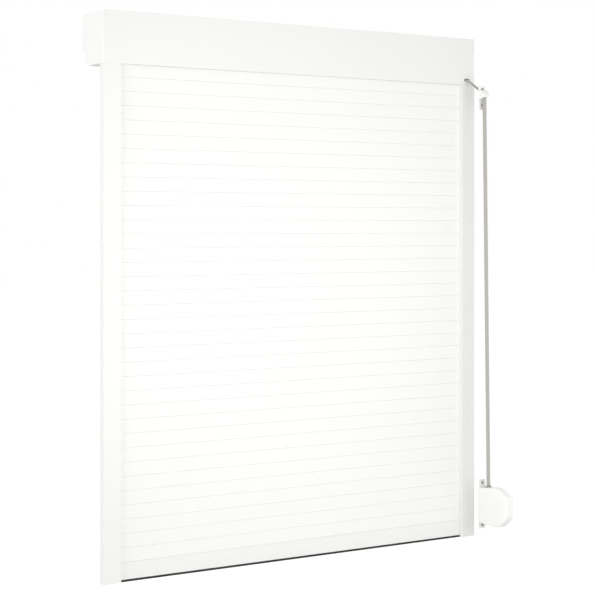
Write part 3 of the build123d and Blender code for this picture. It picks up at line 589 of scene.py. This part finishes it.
def galvanised_steel(name, colours):
    """Zinc-coated steel with its crystal pattern."""
    steel = Surface(name, roughness=0.4, metallic=1.0)
    crystals = steel.crystals(scale=110.0)
    steel.tint(crystals, colours.galvanised, change=0.12)
    steel.gloss(crystals, low=0.3, high=0.5)
    steel.relief(steel.noise(scale=500.0), depth=0.01 * MM)
    return steel.material


def polished_steel(name, colours):
    """Ground steel with fine lines."""
    steel = Surface(name, roughness=0.2, metallic=1.0)
    steel.tint(steel.noise(scale=90.0), colours.steel, change=0.04)
    steel.gloss(steel.noise(scale=1.0, detail=2.0, stretch=(5000.0, 300.0, 300.0)), low=0.14, high=0.3)
    return steel.material


def zinc_screws(name, colours):
    """Zinc plate with a cloudy, slightly warm sheen."""
    zinc = Surface(name, roughness=0.34, metallic=1.0)
    zinc.tint(zinc.noise(scale=260.0, detail=4.0), colours.screws, change=0.14)
    zinc.gloss(zinc.noise(scale=700.0), low=0.26, high=0.46)
    return zinc.material


def strap_webbing(name, colours):
    """Woven polyester: ribs across the strap, warp threads along it."""
    webbing = Surface(name, roughness=0.82)
    webbing.shader["Sheen Weight"].default_value = 0.25
    webbing.shader["Specular IOR Level"].default_value = 0.25
    waves = []
    for layer, pitch in (("strap_along", 0.9 * MM), ("strap_across", 1.4 * MM)):
        reading = webbing.tree.nodes.new("ShaderNodeAttribute")
        reading.attribute_name = layer
        turns = add_math(webbing.tree, "MULTIPLY", reading.outputs["Fac"], 2 * pi / pitch)
        waves.append(add_math(webbing.tree, "SINE", turns))
    ribs, threads = waves
    thread_share = 0.35
    weave = add_math(webbing.tree, "MULTIPLY_ADD", threads, thread_share, ribs)
    webbing.relief(weave, depth=0.07 * MM)
    webbing.tint(webbing.noise(scale=900.0, detail=4.0), colours.webbing, change=0.06)
    return webbing.material


MAKERS = {
    "white_painted_aluminium": painted_aluminium,
    "white_slat_plastic": slat_plastic,
    "white_moulded_plastic": moulded_plastic,
    "black_rubber": black_rubber,
    "dark_plastic": dark_plastic,
    "galvanised_steel": galvanised_steel,
    "polished_steel": polished_steel,
    "zinc_screws": zinc_screws,
    "grey_strap_webbing": strap_webbing,
}


# Screws


def add_ring(mesh, centre, directions, radius, rise, thread=None):
    """Add one ring of points round an axis and return them."""
    axis, side, up = directions
    ring = []
    for index in range(SCREW_SIDES):
        angle = 2 * pi * index / SCREW_SIDES
        reach = radius if thread is None else radius + thread(angle, rise)
        ring.append(mesh.verts.new(centre + axis * rise + (side * cos(angle) + up * sin(angle)) * reach))
    return ring


def join_rings(mesh, first, second):
    """Add the faces between two rings."""
    for index, corner in enumerate(first):
        following = (index + 1) % len(first)
        mesh.faces.new((corner, first[following], second[following], second[index]))


def add_screw(mesh, seat, axis, head, length, sizes):
    """Add a screw: a domed head with a cross recess above its seat, and a threaded shank below it.

    The axis points from the seat out through the head, whose radius is given.
    """
    head_rise, shank, pitch, plain = sizes
    axis = Vector(axis)
    side = axis.orthogonal().normalized()
    up = axis.cross(side)
    directions = (axis, side, up)
    seat = Vector(seat)
    threaded = length > plain
    depth = THREAD_DEPTH_SHARE * shank if threaded else 0.0
    steps = max(1, ceil((length - plain) / pitch * THREAD_RINGS))

    def thread(angle, rise):
        phase = (rise / pitch + angle / (2 * pi)) % 1.0
        return -depth * min(1.0, abs(phase - 0.5) / THREAD_FLANK_SHARE)

    tip = [(across * shank, along * shank - length) for across, along in TIP_SHARES]
    if length <= plain + 2 * shank:
        tip = []
    rings = [add_ring(mesh, seat, directions, reach, rise) for reach, rise in tip]
    start = tip[-1][1] if tip else -length
    for step in range(steps + 1 if threaded else 0):
        rise = start + (-plain - start) * step / steps
        first_share = TIP_SHARES[-1][0]
        grow = min(1.0, first_share + (1 - first_share) * step / TAPER_RINGS) if tip else 1.0
        rings.append(add_ring(mesh, seat, directions, shank * grow, rise, thread))
    if not threaded:
        rings.append(add_ring(mesh, seat, directions, shank, -length))
    rings.append(add_ring(mesh, seat, directions, shank, 0.0))
    for reach, rise in DOME_SHARES:
        rings.append(add_ring(mesh, seat, directions, head * reach, head_rise * rise))
    for first, second in zip(rings, rings[1:]):
        join_rings(mesh, first, second)
    mesh.faces.new(rings[0][::-1])

    # Cross recess in the crown of the head
    arm, slot = RECESS_ARM_SHARE * head, RECESS_SLOT_SHARE * head
    corners = [(arm, -slot), (arm, slot), (slot, slot), (slot, arm), (-slot, arm), (-slot, slot)]
    corners += [(-across, -rise) for across, rise in corners]
    crown_centre = seat + axis * head_rise
    floor_centre = seat + axis * (head_rise * RECESS_FLOOR_SHARE)
    top = [mesh.verts.new(crown_centre + side * across + up * rise) for across, rise in corners]
    floor = [
        mesh.verts.new(floor_centre + (side * across + up * rise) * RECESS_TAPER_SHARE)
        for across, rise in corners
    ]
    edges = [mesh.edges.new((top[index - 1], corner)) for index, corner in enumerate(top)]
    crown = [edge for edge in mesh.edges if all(corner in rings[-1] for corner in edge.verts)]
    bmesh.ops.triangle_fill(mesh, use_beauty=True, edges=edges + crown)
    join_rings(mesh, top, floor)
    mesh.faces.new(floor)


def screw_piece(name, node, body, seats, axis, head, length):
    """Make one piece of like screws that stands for a CAD node."""
    mesh = bmesh.new()
    for seat in seats:
        part = bmesh.new()
        add_screw(part, seat, axis, head, length, SCREW_SIZES[node])
        add_part(mesh, part)
    piece = new_piece(name, mesh)
    smooth(piece, SCREW_SHARP)
    dress(piece, body, node)


# Straps


def tangent_run(start, start_side, end, end_side):
    """Return both ends of the straight strap from one round piece to the next.

    A side is the strap's radius, positive where the strap runs left of the centre.
    """
    across, rise = end[0] - start[0], end[1] - start[1]
    heading = atan2(rise, across) - asin((start_side - end_side) / hypot(across, rise))
    left = Vector((-sin(heading), cos(heading)))
    return Vector(start) + start_side * left, Vector(end) + end_side * left


def bend_points(start, end, centre, step):
    """Return the points of the short arc from one place to another round a centre."""
    centre = Vector(centre)
    first, last = start - centre, end - centre
    turn = -first.angle_signed(last)
    pieces = max(1, ceil(abs(turn) / step))
    return [centre + Matrix.Rotation(turn * index / pieces, 2) @ first for index in range(1, pieces)]


def middle_of(name):
    """Return the centre of a round node in the YZ plane, and its radius."""
    low, high = BOX[name]
    return ((low.y + high.y) / 2, (low.z + high.z) / 2), (high.z - low.z) / 2


def strap_section():
    """Return half-thicknesses of the webbing at places across it, thicker at the woven edges."""
    low, high = BOX["hanging_strap"]
    half = (high.x - low.x) / 2
    shares = WEBBING_SHARES + [(-across, thick) for across, thick in WEBBING_SHARES[-2::-1]]
    centre = (low.x + high.x) / 2
    return [(centre + across * half, thick * STRAP_THICKNESS / 2) for across, thick in shares]


def strap_piece(name, path, start_run, node, body):
    """Make a strap along a path in the YZ plane, with the weave's run stored on its points."""
    section = strap_section()
    loop = [(x, thick) for x, thick in section] + [(x, -thick) for x, thick in section[::-1]]
    mesh = bmesh.new()
    along_layer = mesh.verts.layers.float.new("strap_along")
    across_layer = mesh.verts.layers.float.new("strap_across")
    rings = []
    run = start_run
    for index, point in enumerate(path):
        before = path[max(index - 1, 0)]
        after = path[min(index + 1, len(path) - 1)]
        way = (after - before).normalized()
        side = Vector((-way.y, way.x))
        run += (point - before).length
        ring = []
        for x, thick in loop:
            place = point + side * thick
            corner = mesh.verts.new((x, place.x, place.y))
            corner[along_layer] = run
            corner[across_layer] = x
            ring.append(corner)
        rings.append(ring)
    for first, second in zip(rings, rings[1:]):
        join_rings(mesh, first, second)
    mesh.faces.new(rings[0])
    mesh.faces.new(rings[-1])
    bmesh.ops.recalc_face_normals(mesh, faces=mesh.faces)
    piece = new_piece(name, mesh)
    smooth(piece, STRAP_SHARP)
    dress(piece, body, node)
    return run


def coil_path(centre, inner, end, clockwise, step):
    """Return the points of a coil that winds outwards from a core to the place where the strap leaves it."""
    way = end - Vector(centre)
    spin = -1 if clockwise else 1
    turns = int((way.length - inner) / (STRAP_THICKNESS + STRAP_LAYER_GAP))
    last = atan2(way.y, way.x)
    pieces = ceil(2 * pi * turns / step)
    path = []
    for index in range(pieces + 1):
        angle = last - spin * 2 * pi * turns * (1 - index / pieces)
        reach = inner + (way.length - inner) * index / pieces
        path.append(Vector(centre) + reach * Vector((cos(angle), sin(angle))))
    return path


def divide_run(start, end, length):
    """Return points along a straight run, no further apart than a length."""
    pieces = max(1, ceil((end - start).length / length))
    return [start.lerp(end, index / pieces) for index in range(pieces + 1)]


# Pieces


class SHUTTER_OT_box(Operator):
    """Fold the two sheet profiles of the box and screw them together"""

    bl_idname = "shutter.box"
    bl_label = "Box"

    def execute(self, context):
        shapes = context.scene.shutter_shapes
        low, high = BOX["box_room_profile"]
        cover_low, cover_high = BOX["inspection_cover"]
        lip, corner, lap, seam_gap = 4.0 * MM, 9.0 * MM, 8.0 * MM, 0.3 * MM
        step = SHEET + seam_gap
        seam = cover_high.z + seam_gap
        path = fillet_outline(
            [
                (lip, low.z),
                (0.0, low.z),
                (0.0, high.z),
                (high.y, high.z),
                (high.y, seam),
                (high.y - step, seam),
                (high.y - step, seam - lap),
            ],
            [0, 0, 0, corner, 0, 0, 0],
            shapes.arc_step,
            closed=False,
        )
        mesh = bmesh.new()
        section_solid(mesh, [folded_strip(path, SHEET)], low.x, high.x)
        shell = new_piece("box_shell", mesh)
        self.cut_strap_slot(shell)
        round_edges(shell, shapes.folded_edge)
        settle(shell)
        dress(shell, "frame", "box_room_profile")

        bevel_low, bevel_high, bevel_bend, cover_lip = 99.0 * MM, 52.5 * MM, 28.0 * MM, 6.0 * MM
        path = fillet_outline(
            [
                (cover_high.y, cover_high.z),
                (cover_high.y, cover_low.z + bevel_high),
                (bevel_low, cover_low.z),
                (cover_low.y, cover_low.z),
                (cover_low.y, cover_low.z + cover_lip),
            ],
            [0, bevel_bend, 0, 0, 0],
            shapes.arc_step,
            closed=False,
        )
        mesh = bmesh.new()
        section_solid(mesh, [folded_strip(path, SHEET)], cover_low.x, cover_high.x)
        cover = new_piece("box_cover", mesh)
        round_edges(cover, shapes.folded_edge)
        settle(cover)
        dress(cover, "frame", "inspection_cover")

        screw_low, screw_high = BOX["cover_screws"]
        head = (screw_high.z - screw_low.z) / 2
        height = (screw_high.z + screw_low.z) / 2
        count, length = 4, 4.2 * MM
        step = (screw_high.x - screw_low.x - 2 * head) / (count - 1)
        seats = [(screw_low.x + head + index * step, cover_high.y, height) for index in range(count)]
        screw_piece("box_cover_screws", "cover_screws", "frame", seats, (0, 1, 0), head, length)
        return {"FINISHED"}

    def cut_strap_slot(self, shell):
        """Cut the slot that the strap comes out of."""
        outlet_low, outlet_high = BOX["strap_outlet"]
        middle = (outlet_low.x + outlet_high.x) / 2
        half_width, height, overrun = 9.5 * MM, 7.0 * MM, 1.0 * MM
        foot = middle_of("outlet_roller")[0][1] - overrun
        low = Vector((middle - half_width, -overrun, foot))
        cut_block(shell, low, Vector((middle + half_width, SHEET + overrun, foot + height)))


class SHUTTER_OT_end_caps(Operator):
    """Finish the end caps"""

    bl_idname = "shutter.end_caps"
    bl_label = "End caps"

    def execute(self, context):
        shapes = context.scene.shutter_shapes
        slack = 0.01 * MM
        plate_start = BOX["inspection_cover"][1].x - slack
        for node, name in (("left_end_cap", "left_cap"), ("right_end_cap", "right_cap")):
            mesh = clean_copy(node)
            rim = [
                edge
                for edge in mesh.edges
                if all(abs(corner.co.x) > plate_start for corner in edge.verts)
                and edge.is_convex
                and edge.calc_face_angle(0.0) > EDGE_TURN
            ]
            bevel_rim(mesh, rim, shapes.moulded_edge, segments=3)
            piece = new_piece(name, mesh)
            smooth(piece, CAP_SHARP)
            dress(piece, "frame", node)
        return {"FINISHED"}


class SHUTTER_OT_rails(Operator):
    """Finish the rails, their gaskets and the inlet guides"""

    bl_idname = "shutter.rails"
    bl_label = "Rails"

    def execute(self, context):
        shapes = context.scene.shutter_shapes
        for name in ("left_rail", "right_rail"):
            soften(name, shapes.folded_edge)
        soften("rail_gaskets", shapes.metal_edge)
        soften("inlet_guides", shapes.metal_edge)
        return {"FINISHED"}


class SHUTTER_OT_slats(Operator):
    """Extrude the slats and let them draw in towards the box as the curtain rises"""
    # Extrude the slats, each piece with a mesh of its own

    bl_idname = "shutter.slats"
    bl_label = "Slats"

    def execute(self, context):
        shapes = context.scene.shutter_shapes
        pitch, hairline = 37.0 * MM, 0.12 * MM
        for name in SLAT_NODES:
            low, high = BOX[name]
            count = round((high.z - low.z) / pitch)
            mesh = bmesh.new()
            for index in range(count):
                foot = low.z + index * pitch
                section_solid(mesh, self.section(low.y, high.y, foot, shapes), low.x, high.x)
            piece = new_piece("curtain_" + name, mesh)
            round_edges(piece, hairline, segments=1)
            settle(piece)
            dress(piece, "curtain", name)
            squash_to_box(piece)
        return {"FINISHED"}

    def section(self, front, back, foot, shapes):
        """Return a slat's outline with its hook and pocket, and its hollow."""
        play, bulge, wall, body_height = 0.3 * MM, 1.2 * MM, 0.9 * MM, 36.8 * MM
        neck, head = 0.6 * MM, 1.4 * MM
        neck_rise, head_rise, lip_rise, pocket_rise = 1.4 * MM, 3.0 * MM, 0.8 * MM, 3.0 * MM
        edge_back = back - bulge
        hook = (front + edge_back) / 2
        top = foot + body_height
        neck_top, head_top = top + neck_rise, top + head_rise
        lip, pocket = foot + lip_rise, foot + pocket_rise
        edge, edge_step = shapes.slat_edge, radians(30)
        pocket_side = [(neck + play, foot), (neck + play, lip), (head + play, lip), (head + play, pocket)]
        outline = there_and_back(pocket_side, hook, -1)
        outline.append((edge_back, foot))
        outline += arched_side(edge_back, bulge, foot, top)
        head_side = [(neck, top), (neck, neck_top), (head, neck_top), (head, head_top)]
        outline += there_and_back(head_side, hook, 1)
        rounded = fillet_outline(
            [(hook - neck, top), (front, top), (front, foot), (hook - neck - play, foot)],
            [0, edge, edge, 0],
            edge_step,
            closed=False,
        )
        outline += rounded[1:-1]
        hollow_foot, hollow_top = pocket + wall, top - wall
        hollow = [(edge_back - wall, hollow_foot)]
        hollow += arched_side(edge_back - wall, bulge, hollow_foot, hollow_top)
        hollow += [(front + wall, hollow_top), (front + wall, hollow_foot)]
        return [outline, hollow]


def there_and_back(points, centre, side):
    """Return points on one side of a centre line, then their mirror images in reverse order."""
    first = [(centre + side * across, up) for across, up in points]
    return first + [(centre - side * across, up) for across, up in points[::-1]]


def arched_side(back, bulge, foot, top):
    """Return the points of a shallow arch from above its foot to its top."""
    half = (top - foot) / 2
    radius = (half * half + bulge * bulge) / (2 * bulge)
    reach = asin(half / radius)
    steps = 8
    points = []
    for step in range(1, steps + 1):
        angle = reach * (2 * step / steps - 1)
        points.append((back + bulge - radius * (1 - cos(angle)), (foot + top) / 2 + radius * sin(angle)))
    return points


def squash_to_box(piece):
    """Give a curtain piece a mesh of its own."""
    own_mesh(piece)


class SHUTTER_OT_end_slat(Operator):
    """Finish the end slat, its seal and its stops, and screw the stops on"""

    bl_idname = "shutter.end_slat"
    bl_label = "End slat"

    def execute(self, context):
        shapes = context.scene.shutter_shapes
        soften("end_slat", shapes.folded_edge)
        soften("end_slat_seal", shapes.folded_edge)
        soften("lift_stops", 2 * shapes.moulded_edge, segments=3)
        low, high = BOX["stop_screws"]
        head = (high.z - low.z) / 2
        seat = high.y - SCREW_SIZES["stop_screws"][0]
        height = (low.z + high.z) / 2
        seats = [(x, seat, height) for x in (low.x + head, high.x - head)]
        screw_piece("stop_screw_pair", "stop_screws", "curtain", seats, (0, 1, 0), head, seat - low.y)
        return {"FINISHED"}


class SHUTTER_OT_hangers(Operator):
    """Copy the hangers and the end clips"""

    bl_idname = "shutter.hangers"
    bl_label = "Hangers and clips"

    def execute(self, context):
        shapes = context.scene.shutter_shapes
        for node, name in (("hangers", "spring_hangers"), ("slat_end_clips", "nylon_clips")):
            piece = new_piece(name, clean_copy(node))
            round_edges(piece, shapes.metal_edge, segments=1)
            settle(piece)
            dress(piece, "curtain", node)
            squash_to_box(piece)
        return {"FINISHED"}


class SHUTTER_OT_shaft(Operator):
    """Finish the shaft, its end plug, the strap disc and the bearings"""

    bl_idname = "shutter.shaft"
    bl_label = "Shaft"

    def execute(self, context):
        edge = context.scene.shutter_shapes.metal_edge
        for name in (
            "octagonal_shaft",
            "shaft_end_plug",
            "strap_disc",
            "shaft_screws",
            "bearing_inner_rings",
            "bearing_outer_rings",
        ):
            soften(name, edge, segments=1)
        soften("bearing_rollers", 0.0, segments=1)
        return {"FINISHED"}


class SHUTTER_OT_straps(Operator):
    """Run the strap from its disc over both rollers into the winder"""

    bl_idname = "shutter.straps"
    bl_label = "Straps"

    def execute(self, context):
        step = context.scene.shutter_shapes.arc_step
        gap = STRAP_GAP + STRAP_THICKNESS / 2
        shaft, coil = middle_of("upper_strap_coil")
        outlet, outlet_radius = middle_of("outlet_roller")
        guide, guide_radius = middle_of("guide_roller")
        spool, lower_coil = middle_of("lower_strap_coil")
        winder_top = BOX["winder_case_left"][1].z
        outlet_side = -outlet_radius - gap
        guide_side = -guide_radius - gap
        first, second = tangent_run(shaft, coil + gap, outlet, outlet_side)
        third, fourth = tangent_run(outlet, outlet_side, guide, guide_side)
        fifth, last = tangent_run(guide, guide_side, spool, lower_coil + gap)
        entry = fifth.lerp(last, (fifth.y - winder_top) / (fifth.y - last.y))
        piece_length, upper_core, lower_core, coil_step = 40.0 * MM, 42.8 * MM, 27.6 * MM, 2 * step
        upper = divide_run(first, second, piece_length) + bend_points(second, third, outlet, step)
        upper += divide_run(third, fourth, piece_length) + bend_points(fourth, fifth, guide, step) + [fifth]
        run = strap_piece("upper_webbing", upper, 0.0, "upper_strap", "frame")
        hanging = divide_run(fifth, entry, piece_length)
        run = strap_piece("hanging_webbing", hanging, run, "hanging_strap", "frame")
        strap_piece("lower_webbing", divide_run(entry, last, piece_length), run, "lower_strap", "frame")
        for name, node, centre, core, outer, end, body in (
            ("upper_coil", "upper_strap_coil", shaft, upper_core, coil, first, "shaft"),
            ("lower_coil", "lower_strap_coil", spool, lower_core, lower_coil, last, "spool"),
        ):
            leave = Vector(centre) + (end - Vector(centre)).normalized() * (outer - STRAP_THICKNESS / 2)
            wound = coil_path(centre, core + STRAP_THICKNESS / 2, leave, body == "shaft", coil_step)
            strap_piece(name, wound, 0.0, node, body)
        edge = context.scene.shutter_shapes.metal_edge
        for name in ("strap_outlet", "outlet_pin", "outlet_roller", "guide_pin", "guide_roller"):
            soften(name, edge, segments=1)
        return {"FINISHED"}


class SHUTTER_OT_guide(Operator):
    """Finish the strap guide and screw it on"""

    bl_idname = "shutter.guide"
    bl_label = "Strap guide"

    def execute(self, context):
        soften("strap_guide", context.scene.shutter_shapes.folded_edge)
        plate_screws("guide_screw_pair", "guide_screws")
        return {"FINISHED"}


def plate_screws(name, node):
    """Screw a plate to the window frame: two screws, one above the other."""
    low, high = BOX[node]
    head = (high.x - low.x) / 2
    seat = low.y + SCREW_SIZES[node][0]
    middle = (low.x + high.x) / 2
    seats = [(middle, seat, z) for z in (low.z + head, high.z - head)]
    screw_piece(name, node, "frame", seats, (0, -1, 0), head, high.y - seat)


class SHUTTER_OT_winder(Operator):
    """Mould the winder's case in two halves, and finish what it holds"""

    bl_idname = "shutter.winder"
    bl_label = "Strap winder"

    def execute(self, context):
        shapes = context.scene.shutter_shapes
        self.half_shell("winder_shell_left", "winder_case_left", 0, shapes)
        self.half_shell("winder_shell_right", "winder_case_right", 1, shapes)
        low, high = BOX["winder_case_left"]
        outer_side = BOX["winder_case_right"][1].x
        seats = [
            (outer_side, high.y - across * (high.y - low.y), low.z + up * (high.z - low.z))
            for across, up in CASE_SCREW_SHARES
        ]
        head = 2.6 * MM
        length = outer_side - BOX["winder_case_screws"][0].x
        screw_piece("winder_shell_screws", "winder_case_screws", "frame", seats, (1, 0, 0), head, length)
        plate_screws("winder_screw_pair", "winder_screws")
        soften("winder_base_plate", shapes.moulded_edge, segments=3)
        for name in ("winder_axle", "winder_spool", "winder_spring", "winder_slot_liner"):
            soften(name, shapes.metal_edge)
        return {"FINISHED"}

    def half_shell(self, name, node, outer, shapes):
        """Make one half of the case as a thin shell, rounded at its outer side."""
        low, high = BOX[node]
        depth, height = high.y - low.y, high.z - low.z
        points = [(high.y - across * depth, low.z + up * height) for across, up in CASE_OUTLINE_SHARES]
        bends = [share * height for share in CASE_BEND_SHARES]
        outline = fillet_outline(points, bends, shapes.arc_step)
        side, joint = (low, high)[outer].x, (high, low)[outer].x
        mesh = bmesh.new()
        section_solid(mesh, [outline], side, joint)
        bevel_rim(mesh, at_place(mesh.edges, side), shapes.winder_edge, segments=6)
        bmesh.ops.delete(mesh, geom=at_place(mesh.faces, joint), context="FACES_ONLY")
        piece = new_piece(name, mesh)
        shell = piece.modifiers.new("wall", "SOLIDIFY")
        shell.thickness = WINDER_WALL
        shell.offset = -1
        shell.use_even_offset = True
        settle(piece)
        slot_edge, fit, overrun = 0.25 * MM, 0.2 * MM, 6.0 * MM
        slot_low, slot_high = BOX["winder_slot_liner"]
        room = Vector((fit, fit, overrun))
        cut_block(piece, slot_low - room, slot_high + room)
        round_edges(piece, slot_edge)
        settle(piece)
        dress(piece, "frame", node)


def show_white(tree, kind, lit, shown):
    """Show one shader to camera, glossy and transmission rays, and another to the rest."""
    rays = tree.nodes.new("ShaderNodeLightPath").outputs
    mirrored = add_math(tree, "MAXIMUM", rays["Is Glossy Ray"], rays["Is Transmission Ray"])
    seen = add_math(tree, "MAXIMUM", rays["Is Camera Ray"], mirrored)
    mix = add_node(tree, "ShaderNodeMixShader", {0: seen, 1: lit.outputs[0], 2: shown.outputs[0]})
    add_node(tree, kind, {"Surface": mix.outputs["Shader"]})


class SHUTTER_OT_stage(Operator):
    """Set the floor, the light and the camera"""

    bl_idname = "shutter.stage"
    bl_label = "Stage"

    def execute(self, context):
        scene = context.scene
        studio = scene.shutter_studio
        scene.view_settings.view_transform = "Standard"
        self.add_floor(studio)
        self.light_world(scene, studio)
        key_place, key_aim, key_size = (0.08, -1.9, 0.9), (0.08, 0.0, 0.9), 1.6
        side_place, side_aim, side_size = (-3.6, -0.6, 1.5), (-0.4, 0.0, 0.8), 2.4
        self.add_lamp("key_lamp", key_place, key_aim, key_size, studio.key_power)
        self.add_lamp("side_lamp", side_place, side_aim, side_size, studio.side_power)
        camera = bpy.data.cameras.new("camera")
        camera.lens = studio.lens
        camera.sensor_width = 36.0
        camera.sensor_fit = "HORIZONTAL"
        camera.shift_y = -studio.shift
        camera.clip_end = 100.0
        eye = bpy.data.objects.new("camera", camera)
        eye.location = studio.eye
        eye.rotation_euler = (pi / 2, 0, -studio.heading)
        scene.collection.objects.link(eye)
        scene.camera = eye
        return {"FINISHED"}

    def add_floor(self, studio):
        """Add the pale floor, which shows white with a faint shadow."""
        half, drop = studio.floor_size / 2, 0.1 * MM
        corners = [(-half, -half), (half, -half), (half, half), (-half, half)]
        mesh = bmesh.new()
        mesh.faces.new([mesh.verts.new((x, y, -drop)) for x, y in corners])
        floor = new_piece("floor", mesh)
        material = bpy.data.materials.new("floor")
        material.use_nodes = True
        tree = material.node_tree
        tree.nodes.clear()
        pale, shadow_grey, glow = (0.8, 0.8, 0.79, 1), (0.3, 0.3, 0.3, 1), 0.86
        bounce = add_node(tree, "ShaderNodeBsdfDiffuse", {"Color": pale})
        faint = add_node(tree, "ShaderNodeBsdfDiffuse", {"Color": shadow_grey})
        white = add_node(tree, "ShaderNodeEmission", {"Strength": glow})
        both = add_node(tree, "ShaderNodeAddShader", {0: faint.outputs["BSDF"], 1: white.outputs["Emission"]})
        show_white(tree, "ShaderNodeOutputMaterial", bounce, both)
        floor.data.materials.append(material)

    def light_world(self, scene, studio):
        """Light the object from all sides, with white behind it."""
        world = bpy.data.worlds.new("studio")
        world.use_nodes = True
        scene.world = world
        tree = world.node_tree
        tree.nodes.clear()
        white = (1.0, 1.0, 1.0, 1.0)
        light = add_node(tree, "ShaderNodeBackground", {"Color": white, "Strength": studio.ambient})
        backdrop = add_node(tree, "ShaderNodeBackground", {"Color": white, "Strength": 1.0})
        show_white(tree, "ShaderNodeOutputWorld", light, backdrop)

    def add_lamp(self, name, place, aim, size, power):
        """Add a large square lamp that points at a place."""
        lamp = bpy.data.lights.new(name, "AREA")
        lamp.shape = "SQUARE"
        lamp.size = size
        lamp.energy = power
        holder = bpy.data.objects.new(name, lamp)
        holder.location = place
        way = Vector(aim) - Vector(place)
        holder.rotation_euler = way.to_track_quat("-Z", "Y").to_euler()
        holder.visible_camera = False
        bpy.context.scene.collection.objects.link(holder)


class SHUTTER_PT_pieces(Panel):
    """Lists the pieces of the shutter"""

    bl_idname = "SHUTTER_PT_pieces"
    bl_label = "Roller shutter"
    bl_space_type = "VIEW_3D"
    bl_region_type = "UI"
    bl_category = "Shutter"

    def draw(self, context):
        for operator in OPERATORS:
            self.layout.operator(operator.bl_idname)
        for group in ("shutter_shapes", "shutter_finishes", "shutter_studio"):
            settings = getattr(context.scene, group)
            box = self.layout.box()
            for name in settings.__annotations__:
                box.prop(settings, name)


OPERATORS = (
    SHUTTER_OT_box,
    SHUTTER_OT_end_caps,
    SHUTTER_OT_rails,
    SHUTTER_OT_slats,
    SHUTTER_OT_end_slat,
    SHUTTER_OT_hangers,
    SHUTTER_OT_shaft,
    SHUTTER_OT_straps,
    SHUTTER_OT_guide,
    SHUTTER_OT_winder,
    SHUTTER_OT_stage,
)
CLASSES = (ShutterShapes, ShutterFinishes, ShutterStudio, *OPERATORS, SHUTTER_PT_pieces)


def register():
    """Add the classes and their settings to Blender."""
    for item in CLASSES:
        bpy.utils.register_class(item)
    bpy.types.Scene.shutter_shapes = PointerProperty(type=ShutterShapes)
    bpy.types.Scene.shutter_finishes = PointerProperty(type=ShutterFinishes)
    bpy.types.Scene.shutter_studio = PointerProperty(type=ShutterStudio)


def unregister():
    """Take the classes and their settings out again."""
    del bpy.types.Scene.shutter_studio
    del bpy.types.Scene.shutter_finishes
    del bpy.types.Scene.shutter_shapes
    for item in reversed(CLASSES):
        bpy.utils.unregister_class(item)


def main():
    """Register the add-on and make every piece."""
    register()
    bpy.ops.shutter.stage()
    bpy.ops.shutter.box()
    bpy.ops.shutter.end_caps()
    bpy.ops.shutter.rails()
    bpy.ops.shutter.slats()
    bpy.ops.shutter.end_slat()
    bpy.ops.shutter.hangers()
    bpy.ops.shutter.shaft()
    bpy.ops.shutter.straps()
    bpy.ops.shutter.guide()
    bpy.ops.shutter.winder()


if __name__ == "__main__":
    main()
